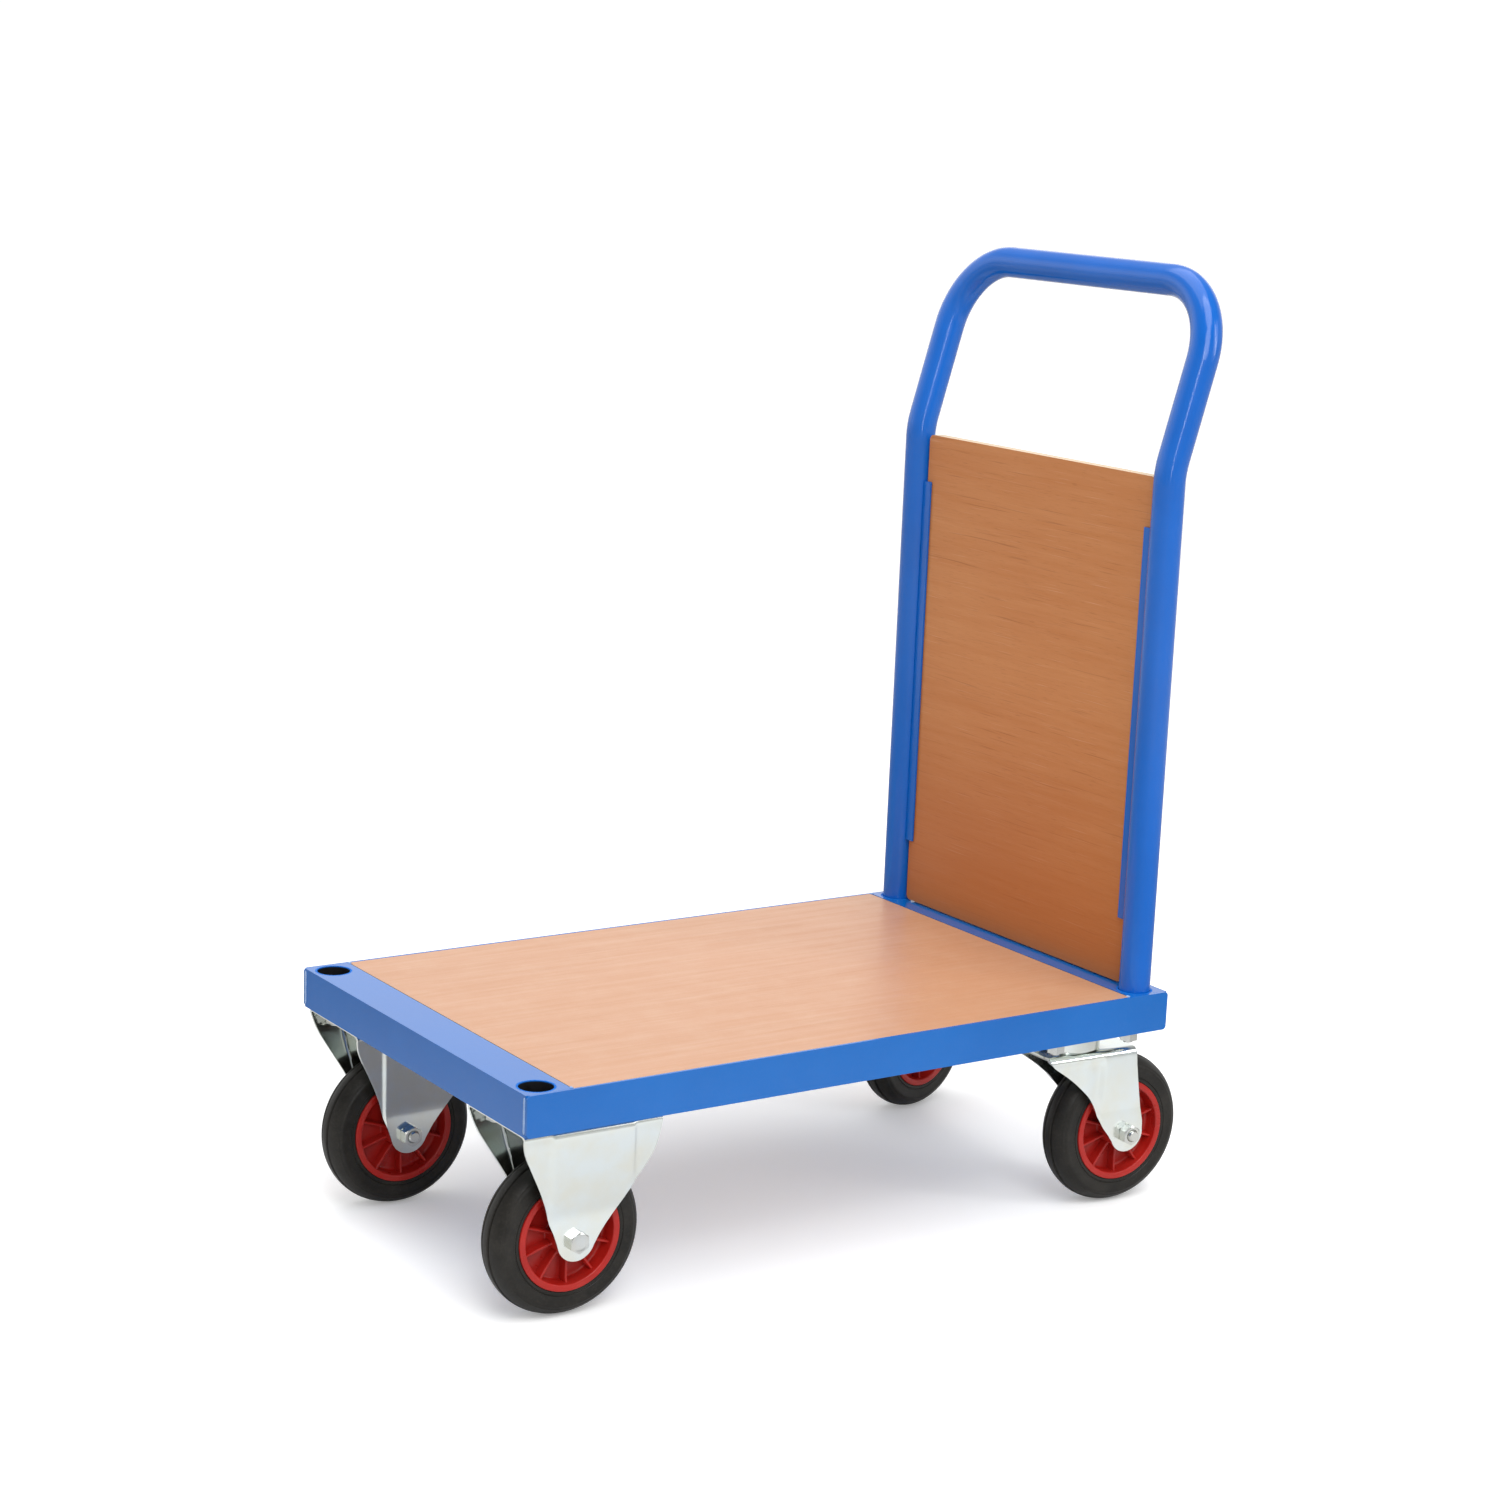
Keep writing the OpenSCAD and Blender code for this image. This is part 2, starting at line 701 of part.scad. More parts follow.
// Top plate with the ball race's housing pressed into it
module swivel_plate(side) {
  color(zinc) at_swivel(side, false) difference() {
    union() {
      translate([-swivel_plate_length / 2, -castor_plate_width / 2, fork_top])
        cube([swivel_plate_length, castor_plate_width, castor_plate]);
      translate([0, 0, crown_top + race_gap])
        cylinder(r = race_radius, h = fork_top - crown_top - race_gap + eps);
    }
    translate([0, 0, crown_top + race_gap - eps])
      cylinder(r = race_radius - race_wall, h = race_bottom - crown_top - race_gap + eps);
    translate([0, 0, race_bottom - eps])
      cylinder(r = kingpin_radius, h = castor_plate + upper_race + 2 * eps);
    translate([0, 0, frame_bottom - 3])
      cylinder(r1 = kingpin_radius, r2 = kingpin_radius + 4, h = 3.001);
    at_holes(0, 0, swivel_hole_length, swivel_hole_width)
      translate([0, 0, fork_top - eps]) cylinder(r = bolt_hole, h = castor_plate + 2 * eps);
  }
}

// Countersunk pins that carry the swivel forks
module kingpins() {
  foot = crown_bottom - kingpin_nut_gap - axle_nut - 2;
  color(zinc) for (s = [-1, 1]) at_swivel(s, false) {
    translate([0, 0, foot]) cylinder(r = kingpin_radius, h = frame_bottom - 3 - foot);
    translate([0, 0, frame_bottom - 3])
      cylinder(r1 = kingpin_radius, r2 = kingpin_radius + 3.9, h = 2.9);
  }
}

module kingpin_nuts() {
  color(zinc) for (s = [-1, 1]) at_swivel(s, false)
    translate([0, 0, crown_bottom - kingpin_nut_gap - axle_nut]) difference() {
      hex(axle_flats, axle_nut);
      translate([0, 0, -eps]) cylinder(r = kingpin_radius, h = axle_nut + 2 * eps);
    }
}

// Side view of the swivel forks' legs, beside the axle
swivel_front_edge = [[-109, 1], [-104, 0.94], [-86, 0.82], [-66, 0.65], [-48, 0.45],
  [-41, 0.33], [-35.5, 0.16]];
swivel_rear_edge = [[20.5, 0.08], [16.5, 0.25], [10.5, 0.53], [4.5, 0.84], [2, 1]];

// The crown's outline, seen from above, about the swivel axis
module crown_outline() {
  r = crown_corner;
  translate([-crown_front + r, -crown_half]) square([crown_front + crown_rear - r, 2 * crown_half]);
  translate([-crown_front, -crown_half + r]) square([2 * r, 2 * crown_half - 2 * r]);
  for (s = [-1, 1])
    translate([-crown_front + r, s * (crown_half - r)]) circle(r = r);
}

module swivel_fork(side) {
  height = crown_bottom - axle_z;
  color(zinc) difference() {
    union() {
      at_rear_axle(side)
        for (s = [-1, 1]) intersection() {
          translate([0, 2 * crown_half, 0]) rotate([90, 0, 0])
            linear_extrude(4 * crown_half)
              leg_outline(swivel_front_edge, swivel_rear_edge, height);
          rotate([90, 0, 90]) translate([0, 0, -3 * trail])
            linear_extrude(5 * trail)
              mirror([s < 0 ? 1 : 0, 0])
                leg_section(swivel_fork_half, height * 0.3, crown_half, height);
        }
      at_swivel(side, true) translate([0, 0, crown_bottom])
        linear_extrude(crown_sheet) crown_outline();
    }
    at_rear_axle(side) translate([0, -2 * crown_half, 0]) rotate([-90, 0, 0])
      cylinder(r = axle_hole, h = 4 * crown_half);
    at_swivel(side, true) translate([0, 0, crown_bottom - eps])
      cylinder(r = kingpin_radius + kingpin_gap, h = crown_sheet + 2 * eps);
  }
}

// Lower race that sits on the fork's crown
module swivel_race(side) {
  color(zinc) at_swivel(side, true) translate([0, 0, crown_top])
    ring(race_radius - race_wall - 1, kingpin_radius + kingpin_gap, lower_race_top - crown_top);
}

module swivel_balls(side) {
  color(zinc) at_swivel(side, true)
    for (i = [0 : ball_count - 1])
      rotate([0, 0, i * 360 / ball_count])
        translate([ball_circle, 0, race_bottom - ball_radius - ball_gap]) sphere(r = ball_radius);
}

// Handle end -------------------------------------------------------------------

// Moves its children to the start of the handle's leaning part
module at_lean() {
  translate([leg_x + handle_bend_radius, 0, bend_z]) rotate([0, handle_lean, 0])
    translate([-handle_bend_radius, 0, 0]) children();
}

// Solid rod along the handle's centre line, from below by "more" at each foot
module handle_rod(r, more) {
  run = handle_upper_straight;
  arc_box = 100 + handle_bend_radius;
  for (s = [-1, 1]) {
    translate([leg_x, s * leg_y, socket_floor - more])
      cylinder(r = r, h = bend_z - socket_floor + more);
    intersection() {
      translate([leg_x + handle_bend_radius, s * leg_y, bend_z]) rotate([90, 0, 0])
        rotate_extrude($fn = 96) translate([handle_bend_radius, 0]) circle(r = r);
      intersection() {
        translate([leg_x - 2 * r, s * leg_y - 2 * r, bend_z]) cube([arc_box, 4 * r, arc_box]);
        at_lean() translate([-arc_box / 2, s * leg_y - 2 * r, -arc_box])
          cube([arc_box / 2 + 2 * r, 4 * r, arc_box]);
      }
    }
  }
  at_lean() {
    for (s = [-1, 1]) {
      translate([0, s * leg_y, 0]) cylinder(r = r, h = run);
      translate([0, s * (leg_y - handle_corner_radius), run]) rotate([90, 0, s * 90])
        rotate_extrude(angle = 90, $fn = 96)
          translate([handle_corner_radius, 0]) circle(r = r);
    }
    translate([0, leg_y - handle_corner_radius, slant]) rotate([90, 0, 0])
      cylinder(r = r, h = 2 * (leg_y - handle_corner_radius));
  }
}

// Loop of round tube: two legs, a backward bend in each, and a top bar
module handle_tube() {
  color(blue) difference() {
    handle_rod(handle_radius, 0);
    handle_rod(handle_radius - handle_wall, eps);
  }
}

// Places its children at each panel screw, pointing forwards into the panel
module at_panel_screws(side) {
  for (z = [panel_screw_inset, channel_length / 2, channel_length - panel_screw_inset])
    translate([channel_x + channel_depth, side * screw_y, channel_z + z])
      rotate([0, -90, 0]) children();
}

module back_panel() {
  r = panel_corner_radius;
  color(panel_wood) difference() {
    translate([panel_x, 0, panel_z]) rotate([90, 0, 90]) linear_extrude(panel_thickness) {
      translate([-panel_half + r, 0]) square([2 * (panel_half - r), panel_height]);
      translate([-panel_half, r]) square([2 * panel_half, panel_height - 2 * r]);
      for (s = [-1, 1])
        for (z = [r, panel_height - r])
          translate([s * (panel_half - r), z]) circle(r = r);
    }
    for (s = [-1, 1])
      at_panel_screws(s) translate([0, 0, -eps])
        cylinder(r = panel_screw_radius + 0.1,
          h = channel_wall + panel_face_gap + panel_screw_depth + 1 + eps);
  }
}

// Channel welded to a leg, open towards the middle; it holds the panel's edge
module panel_channel(side) {
  inner_y = channel_outer_y - channel_flange;
  weld_z = [0, (channel_length - weld_length) / 2, channel_length - weld_length];
  color(blue) difference() {
    union() {
      mirror([0, side < 0 ? 1 : 0, 0]) {
        translate([channel_x, inner_y, channel_z]) difference() {
          cube([channel_depth, channel_flange, channel_length]);
          translate([channel_wall, -eps, -eps])
            cube([channel_depth - 2 * channel_wall, channel_flange - channel_wall + eps,
              channel_length + 2 * eps]);
        }
        for (z = weld_z)
          translate([leg_x - 4, channel_outer_y - 0.5, channel_z + z]) cube([8, 2, weld_length]);
      }
    }
    translate([leg_x, side * leg_y, channel_z - eps])
      cylinder(r = handle_radius, h = channel_length + 2 * eps);
    at_panel_screws(side) translate([0, 0, -eps])
      cylinder(r = panel_screw_radius + 0.1, h = channel_wall + 2 * eps);
  }
}

module panel_screws() {
  color(zinc) for (s = [-1, 1])
    at_panel_screws(s) {
      translate([0, 0, -panel_screw_head])
        cylinder(r = panel_screw_head_radius, h = panel_screw_head);
      translate([0, 0, -eps]) cylinder(r = panel_screw_radius,
        h = channel_wall + panel_face_gap + panel_screw_depth + eps);
    }
}

// Nodes --------------------------------------------------------------------------

module front_beam() { color(blue) end_beam(-1); }
module rear_beam() { color(blue) end_beam(1); }
module left_side_rail() { color(blue) side_rail(-1); }
module right_side_rail() { color(blue) side_rail(1); }
module front_castor_bearer() { color(blue) castor_bearer(-1); }
module rear_castor_bearer() { color(blue) castor_bearer(1); }
module front_left_socket() { socket_cup(front_socket_x, -socket_y); }
module front_right_socket() { socket_cup(front_socket_x, socket_y); }
module rear_left_socket() { socket_cup(rear_socket_x, -socket_y); }
module rear_right_socket() { socket_cup(rear_socket_x, socket_y); }
module front_left_fork() { fixed_fork(-fixed_y); }
module front_right_fork() { fixed_fork(fixed_y); }
module left_swivel_plate() { swivel_plate(-1); }
module right_swivel_plate() { swivel_plate(1); }
module left_panel_channel() { panel_channel(-1); }
module right_panel_channel() { panel_channel(1); }
module left_swivel_fork() { swivel_fork(-1); }
module right_swivel_fork() { swivel_fork(1); }
module left_swivel_race() { swivel_race(-1); }
module right_swivel_race() { swivel_race(1); }
module left_swivel_balls() { swivel_balls(-1); }
module right_swivel_balls() { swivel_balls(1); }
module left_rear_axle_bolt() { color(zinc) at_rear_axle(-1) axle_bolt(swivel_fork_half, 1); }
module left_rear_axle_nut() { color(zinc) at_rear_axle(-1) axle_nut_at(swivel_fork_half, 1); }
module left_rear_axle_sleeve() { color(zinc) at_rear_axle(-1) axle_sleeve(swivel_fork_inner); }
module left_rear_axle_spacers() { color(black) at_rear_axle(-1) axle_spacers(swivel_fork_inner); }
module right_rear_axle_bolt() { color(zinc) at_rear_axle(1) axle_bolt(swivel_fork_half, 1); }
module right_rear_axle_nut() { color(zinc) at_rear_axle(1) axle_nut_at(swivel_fork_half, 1); }
module right_rear_axle_sleeve() { color(zinc) at_rear_axle(1) axle_sleeve(swivel_fork_inner); }
module right_rear_axle_spacers() { color(black) at_rear_axle(1) axle_spacers(swivel_fork_inner); }
module at_front_axle(side) { translate([fixed_x, side * fixed_y, axle_z]) children(); }
module front_left_wheel_centre() { at_front_axle(-1) wheel_centre(); }
module front_left_tyre() { at_front_axle(-1) tyre(); }
module front_left_bearing() { at_front_axle(-1) roller_bearing(); }
module front_right_wheel_centre() { at_front_axle(1) wheel_centre(); }
module front_right_tyre() { at_front_axle(1) tyre(); }
module front_right_bearing() { at_front_axle(1) roller_bearing(); }
module rear_left_wheel_centre() { at_rear_axle(-1) wheel_centre(); }
module rear_left_tyre() { at_rear_axle(-1) tyre(); }
module rear_left_bearing() { at_rear_axle(-1) roller_bearing(); }
module rear_right_wheel_centre() { at_rear_axle(1) wheel_centre(); }
module rear_right_tyre() { at_rear_axle(1) tyre(); }
module rear_right_bearing() { at_rear_axle(1) roller_bearing(); }

front_beam();
rear_beam();
left_side_rail();
right_side_rail();
cross_members();
front_castor_bearer();
rear_castor_bearer();
front_left_socket();
front_right_socket();
rear_left_socket();
rear_right_socket();
deck_board();
deck_screws();
castor_bolts();
castor_nuts();
castor_washers();
front_left_fork();
front_right_fork();
front_axle_bolts();
front_axle_nuts();
front_axle_sleeves();
front_axle_spacers();
left_swivel_plate();
right_swivel_plate();
kingpins();
kingpin_nuts();
handle_tube();
back_panel();
left_panel_channel();
right_panel_channel();
panel_screws();
left_swivel_fork();
left_swivel_race();
left_swivel_balls();
left_rear_axle_bolt();
left_rear_axle_nut();
left_rear_axle_sleeve();
left_rear_axle_spacers();
right_swivel_fork();
right_swivel_race();
right_swivel_balls();
right_rear_axle_bolt();
right_rear_axle_nut();
right_rear_axle_sleeve();
right_rear_axle_spacers();
front_left_wheel_centre();
front_left_tyre();
front_left_bearing();
front_right_wheel_centre();
front_right_tyre();
front_right_bearing();
rear_left_wheel_centre();
rear_left_tyre();
rear_left_bearing();
rear_right_wheel_centre();
rear_right_tyre();
rear_right_bearing();
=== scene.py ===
"""Flatbed platform truck: finishes, pressed forks, wheels, bolts, welds and studio."""

import json
import math

import bmesh
import bpy
from mathutils import Matrix, Vector


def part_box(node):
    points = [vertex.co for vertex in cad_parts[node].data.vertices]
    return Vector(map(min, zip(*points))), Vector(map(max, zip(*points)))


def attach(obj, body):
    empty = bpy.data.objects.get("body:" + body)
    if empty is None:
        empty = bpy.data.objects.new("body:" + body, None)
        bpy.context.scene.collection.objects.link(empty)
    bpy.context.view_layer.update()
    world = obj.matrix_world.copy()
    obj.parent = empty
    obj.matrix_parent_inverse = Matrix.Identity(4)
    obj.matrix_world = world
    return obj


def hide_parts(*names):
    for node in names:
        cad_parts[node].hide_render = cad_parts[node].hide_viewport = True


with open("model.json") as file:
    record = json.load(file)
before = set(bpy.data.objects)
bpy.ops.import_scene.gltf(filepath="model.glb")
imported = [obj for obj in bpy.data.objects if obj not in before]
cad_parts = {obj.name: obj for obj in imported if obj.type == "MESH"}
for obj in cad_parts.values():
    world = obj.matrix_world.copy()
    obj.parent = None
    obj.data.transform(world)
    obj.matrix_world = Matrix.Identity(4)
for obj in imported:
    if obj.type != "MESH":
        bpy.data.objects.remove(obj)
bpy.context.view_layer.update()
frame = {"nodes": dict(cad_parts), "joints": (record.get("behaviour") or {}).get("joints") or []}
NODES = frame["nodes"]
JOINTS = {joint["name"]: joint for joint in frame["joints"]}
SIDES = ("left", "right")
WHEELS = ("front_left", "front_right", "rear_left", "rear_right")
MM = 0.001


def joint_place(name):
    """Where a joint stands, in metres."""
    return Vector(JOINTS[name]["pos_m"])


def joint_axis(name):
    """The unit vector a joint turns about or slides along."""
    return Vector(JOINTS[name]["axis"]).normalized()


def middle(node):
    """The middle of a node's box."""
    low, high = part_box(node)
    return (low + high) / 2


# ---------------------------------------------------------------- camera

VIEW_AZIMUTH, VIEW_ELEVATION, VIEW_ROLL = -34.356, 13.238, 2.399
VIEW_PLACE = (-1.709933, -2.517519, 1.119980)
VIEW_SHIFT = (-0.019343, 0.046947)
SENSOR, LENS = 36.0, 74.2727


def set_camera():
    """Stands the camera at the near front corner, a little above the deck."""
    turn, rise, roll = map(math.radians, (VIEW_AZIMUTH, VIEW_ELEVATION, VIEW_ROLL))
    level = math.cos(rise)
    back = Vector((math.sin(turn) * level, -math.cos(turn) * level, math.sin(rise)))
    right = (-back).cross(Vector((0, 0, 1))).normalized()
    up = right.cross(-back)
    across = right * math.cos(roll) + up * math.sin(roll)
    over = up * math.cos(roll) - right * math.sin(roll)
    data = bpy.data.cameras.new("view_camera")
    data.sensor_width = SENSOR
    data.lens = LENS
    data.shift_x, data.shift_y = VIEW_SHIFT
    data.clip_start, data.clip_end = 0.05, 100.0
    camera = bpy.data.objects.new("view_camera", data)
    bpy.context.scene.collection.objects.link(camera)
    frame_of_view = Matrix((across, over, back)).transposed().to_4x4()
    frame_of_view.translation = VIEW_PLACE
    camera.matrix_world = frame_of_view
    bpy.context.scene.camera = camera


# ---------------------------------------------------------------- shader node helpers

class Wiring:
    """Adds nodes to a material or a group, and links them."""

    def __init__(self, tree):
        self.tree = tree

    def node(self, kind, inputs=None, **settings):
        """A new shader node with its settings and inputs."""
        made = self.tree.nodes.new(kind)
        for key, value in settings.items():
            setattr(made, key, value)
        for key, value in (inputs or {}).items():
            self.feed(made.inputs[key], value)
        return made

    def feed(self, socket, value):
        """Links an output to the socket, or sets the socket to a value."""
        if isinstance(value, bpy.types.NodeSocket):
            self.tree.links.new(value, socket)
        elif isinstance(value, (tuple, list)) and len(value) == 3 and socket.type == "RGBA":
            socket.default_value = (*value, 1.0)
        else:
            socket.default_value = value

    def math(self, operation, a, b=None, clamp=False):
        made = self.node("ShaderNodeMath", {0: a}, operation=operation, use_clamp=clamp)
        if b is not None:
            self.feed(made.inputs[1], b)
        return made.outputs[0]

    def stretch(self, vector, scale):
        return self.node("ShaderNodeMapping", {"Vector": vector, "Scale": scale}).outputs[0]

    def noise(self, vector, scale, detail=2.0, roughness=0.5, distortion=0.0):
        return self.node("ShaderNodeTexNoise", {
            "Vector": vector, "Scale": scale, "Detail": detail,
            "Roughness": roughness, "Distortion": distortion}).outputs["Fac"]

    def span(self, value, low, high, to_low=0.0, to_high=1.0, smooth=False):
        """Maps low..high to to_low..to_high, and stops at both ends."""
        made = self.node("ShaderNodeMapRange", {
            "Value": value, "From Min": low, "From Max": high,
            "To Min": to_low, "To Max": to_high})
        if smooth:
            made.interpolation_type = "SMOOTHSTEP"
        return made.outputs[0]

    def blend(self, amount, a, b, how="MIX"):
        made = self.node("ShaderNodeMix", data_type="RGBA", blend_type=how)
        self.feed(made.inputs[0], amount)
        self.feed(made.inputs[6], a)
        self.feed(made.inputs[7], b)
        return made.outputs[2]

    def place(self, group, inputs):
        made = self.node("ShaderNodeGroup", node_tree=group)
        for key, value in inputs.items():
            self.feed(made.inputs[key], value)
        return made.outputs


def new_group(name, inputs, outputs):
    """A shader node group. inputs are (name, kind, default) and outputs are (name, kind)."""
    tree = bpy.data.node_groups.new(name, "ShaderNodeTree")
    for label, kind, default in inputs:
        socket = tree.interface.new_socket(
            label, in_out="INPUT", socket_type="NodeSocket" + kind)
        if default is not None:
            socket.default_value = default
    for label, kind in outputs:
        tree.interface.new_socket(label, in_out="OUTPUT", socket_type="NodeSocket" + kind)
    wiring = Wiring(tree)
    start = tree.nodes.new("NodeGroupInput").outputs
    end = tree.nodes.new("NodeGroupOutput").inputs
    return tree, wiring, start, end


# ---------------------------------------------------------------- shared effects

def make_patches_group():
    """Cloudy roughness and a fine pebbled height, for paint, zinc, rubber and plastic."""
    tree, w, start, end = new_group("surface_patches", [
        ("Vector", "Vector", None), ("Cloud Scale", "Float", 9.0),
        ("Grain Scale", "Float", 900.0), ("Low", "Float", 0.2), ("High", "Float", 0.3)],
        [("Roughness", "Float"), ("Height", "Float"), ("Cloud", "Float")])
    cloud = w.noise(start["Vector"], start["Cloud Scale"], 4.0, 0.6)
    even = w.span(cloud, 0.3, 0.7)
    grain = w.noise(start["Vector"], start["Grain Scale"], 2.0, 0.5)
    spread = w.math("SUBTRACT", start["High"], start["Low"])
    w.feed(end["Roughness"], w.math("ADD", w.math("MULTIPLY", even, spread), start["Low"]))
    w.feed(end["Height"], grain)
    w.feed(end["Cloud"], even)
    return tree


def make_dust_group():
    """A thin dull film in soft patches and specks."""
    tree, w, start, end = new_group("settled_dust", [
        ("Vector", "Vector", None), ("Base", "Color", (0.5, 0.5, 0.5, 1)),
        ("Dust", "Color", (0.6, 0.56, 0.5, 1)), ("Amount", "Float", 0.1)],
        [("Color", "Color"), ("Mask", "Float")])
    cloud = w.span(w.noise(start["Vector"], 26.0, 5.0, 0.65), 0.45, 0.72)
    speck = w.span(w.noise(start["Vector"], 420.0, 2.0, 0.5), 0.5, 0.8)
    mixed = w.math("ADD", w.math("MULTIPLY", cloud, 0.7), w.math("MULTIPLY", speck, 0.5))
    both = w.math("MULTIPLY", mixed, start["Amount"], clamp=True)
    w.feed(end["Color"], w.blend(both, start["Base"], start["Dust"]))
    w.feed(end["Mask"], both)
    return tree


def make_veneer_group():
    """Rotary-cut beech, with its grain along the vector's X.

    It has broad bands, fine fibres, short dark flecks and a few pale ones.
    """
    tree, w, start, end = new_group("beech_veneer", [
        ("Vector", "Vector", None), ("Light", "Color", (0.8, 0.45, 0.26, 1)),
        ("Dark", "Color", (0.6, 0.3, 0.14, 1)), ("Fleck", "Color", (0.3, 0.12, 0.04, 1)),
        ("Band Amount", "Float", 0.5), ("Fleck Amount", "Float", 0.5)],
        [("Color", "Color"), ("Roughness", "Float"), ("Height", "Float")])
    vector = start["Vector"]
    bands = w.noise(w.stretch(vector, (1.1, 5.0, 5.0)), 1.6, 3.0, 0.6, 0.3)
    streaks = w.noise(w.stretch(vector, (5.0, 120.0, 120.0)), 1.0, 4.0, 0.6)
    fibres = w.noise(w.stretch(vector, (26.0, 900.0, 900.0)), 1.0, 3.0, 0.6)
    flecks = w.noise(w.stretch(vector, (70.0, 1500.0, 1500.0)), 1.0, 1.0, 0.4)
    dashes = w.noise(w.stretch(vector, (13.0, 620.0, 620.0)), 1.0, 1.0, 0.4)
    shine = w.noise(w.stretch(vector, (11.0, 760.0, 760.0)), 1.3, 1.0, 0.4)
    tone = w.math("ADD", w.math("MULTIPLY", w.span(bands, 0.3, 0.7), 0.5),
                  w.math("MULTIPLY", w.span(streaks, 0.3, 0.7), 0.5))
    tone = w.math("MULTIPLY", tone, start["Band Amount"], clamp=True)
    colour = w.blend(tone, start["Light"], start["Dark"])
    colour = w.blend(w.math("MULTIPLY", w.span(fibres, 0.35, 0.75), 0.16), colour, start["Dark"])
    colour = w.blend(w.math("MULTIPLY", w.span(shine, 0.66, 0.80), 0.22), colour,
                     (0.95, 0.72, 0.50))
    short = w.math("MULTIPLY", w.span(flecks, 0.62, 0.76), 0.6)
    longer = w.span(dashes, 0.66, 0.80)
    marks = w.math("MULTIPLY", w.math("MAXIMUM", short, longer), start["Fleck Amount"], clamp=True)
    w.feed(end["Color"], w.blend(marks, colour, start["Fleck"]))
    w.feed(end["Roughness"], w.span(streaks, 0.3, 0.7, 0.36, 0.5))
    w.feed(end["Height"], w.math("SUBTRACT", w.math("MULTIPLY", fibres, 0.5), marks))
    return tree


PATCHES = make_patches_group()
DUST = make_dust_group()
VENEER = make_veneer_group()


# ---------------------------------------------------------------- materials

def new_material(name):
    """A material, its wiring, its shader and the object's own coordinates."""
    material = bpy.data.materials.new(name)
    material.use_nodes = True
    w = Wiring(material.node_tree)
    shader = material.node_tree.nodes["Principled BSDF"]
    coords = w.node("ShaderNodeTexCoord").outputs["Object"]
    return material, w, shader, coords


def bump(w, shader, height, strength, distance):
    """Feeds a height to the shader's normal."""
    made = w.node("ShaderNodeBump", {"Height": height, "Strength": strength, "Distance": distance})
    w.feed(shader.inputs["Normal"], made.outputs[0])


def coat(shader, weight, roughness):
    """A clear coat over the base."""
    shader.inputs["Coat Weight"].default_value = weight
    shader.inputs["Coat Roughness"].default_value = roughness


def make_blue_paint(name, deep, pale, dust_and_glint, pebble=0.1):
    """Glossy powder coat with a faint orange peel; pebble is how strong the peel is. The amount
    after the two tones sets a pale film: settled dust, and on the weld beads a painted glint.
    """
    material, w, shader, coords = new_material(name)
    patches = w.place(PATCHES, {"Vector": coords, "Cloud Scale": 7.0, "Grain Scale": 620.0,
                                "Low": 0.13, "High": 0.20})
    tone = w.blend(patches["Cloud"], deep, pale)
    film = w.place(DUST, {"Vector": coords, "Base": tone, "Dust": (0.42, 0.47, 0.55),
                          "Amount": dust_and_glint})
    w.feed(shader.inputs["Base Color"], film["Color"])
    w.feed(shader.inputs["Roughness"], w.math("ADD", patches["Roughness"], film["Mask"]))
    shader.inputs["IOR"].default_value = 1.5
    coat(shader, 0.12, 0.06)
    shader.inputs["Specular IOR Level"].default_value = 0.45
    peel = w.noise(coords, 260.0, 1.0, 0.4)
    height = w.math("ADD", peel, w.math("MULTIPLY", patches["Height"], 0.3))
    bump(w, shader, height, pebble, 0.0004)
    return material


def make_zinc(name, base, low, high, cloud_scale=14.0, drawn=0.35):
    """Bright zinc plate over pressed steel, with cloudy passivation and faint drawing lines."""
    material, w, shader, coords = new_material(name)
    patches = w.place(PATCHES, {"Vector": coords, "Cloud Scale": cloud_scale,
                                "Grain Scale": 700.0, "Low": low, "High": high})
    tint = w.noise(coords, 31.0, 3.0, 0.6)
    warm = tuple(v * f for v, f in zip(base, (0.97, 0.95, 0.90)))
    cool = tuple(min(1.0, v * f) for v, f in zip(base, (0.97, 1.0, 1.03)))
    colour = w.blend(w.span(tint, 0.35, 0.65), cool, warm)
    film = w.place(DUST, {"Vector": coords, "Base": colour, "Dust": (0.55, 0.55, 0.50),
                          "Amount": 0.03})
    w.feed(shader.inputs["Base Color"], film["Color"])
    w.feed(shader.inputs["Roughness"], w.math("ADD", patches["Roughness"], film["Mask"]))
    shader.inputs["Metallic"].default_value = 1.0
    lines = w.noise(w.stretch(coords, (60.0, 60.0, 900.0)), 1.0, 2.0, 0.5)
    wave = w.noise(coords, 16.0, 1.0, 0.3)
    height = w.math("ADD", w.math("MULTIPLY", lines, drawn * 0.015), wave)
    bump(w, shader, height, 0.12, 0.0012)
    return material


def make_deck_wood():
    """Pale beech plywood, satin."""
    material, w, shader, coords = new_material("deck_beech")
    grain = w.place(VENEER, {
        "Vector": coords, "Light": (0.575, 0.305, 0.175), "Dark": (0.50, 0.245, 0.125),
        "Fleck": (0.36, 0.16, 0.07), "Band Amount": 0.45, "Fleck Amount": 0.35})
    ply = ply_layers(w, coords, 2, (0.78, 0.55, 0.33), (0.42, 0.22, 0.11))
    face = face_mask(w, 2)
    colour = w.blend(face, ply, grain["Color"])
    film = w.place(DUST, {"Vector": coords, "Base": colour, "Dust": (0.72, 0.55, 0.42),
                          "Amount": 0.15})
    w.feed(shader.inputs["Base Color"], film["Color"])
    w.feed(shader.inputs["Roughness"], grain["Roughness"])
    bump(w, shader, grain["Height"], 0.25, 0.0002)
    coat(shader, 0.15, 0.25)
    return material


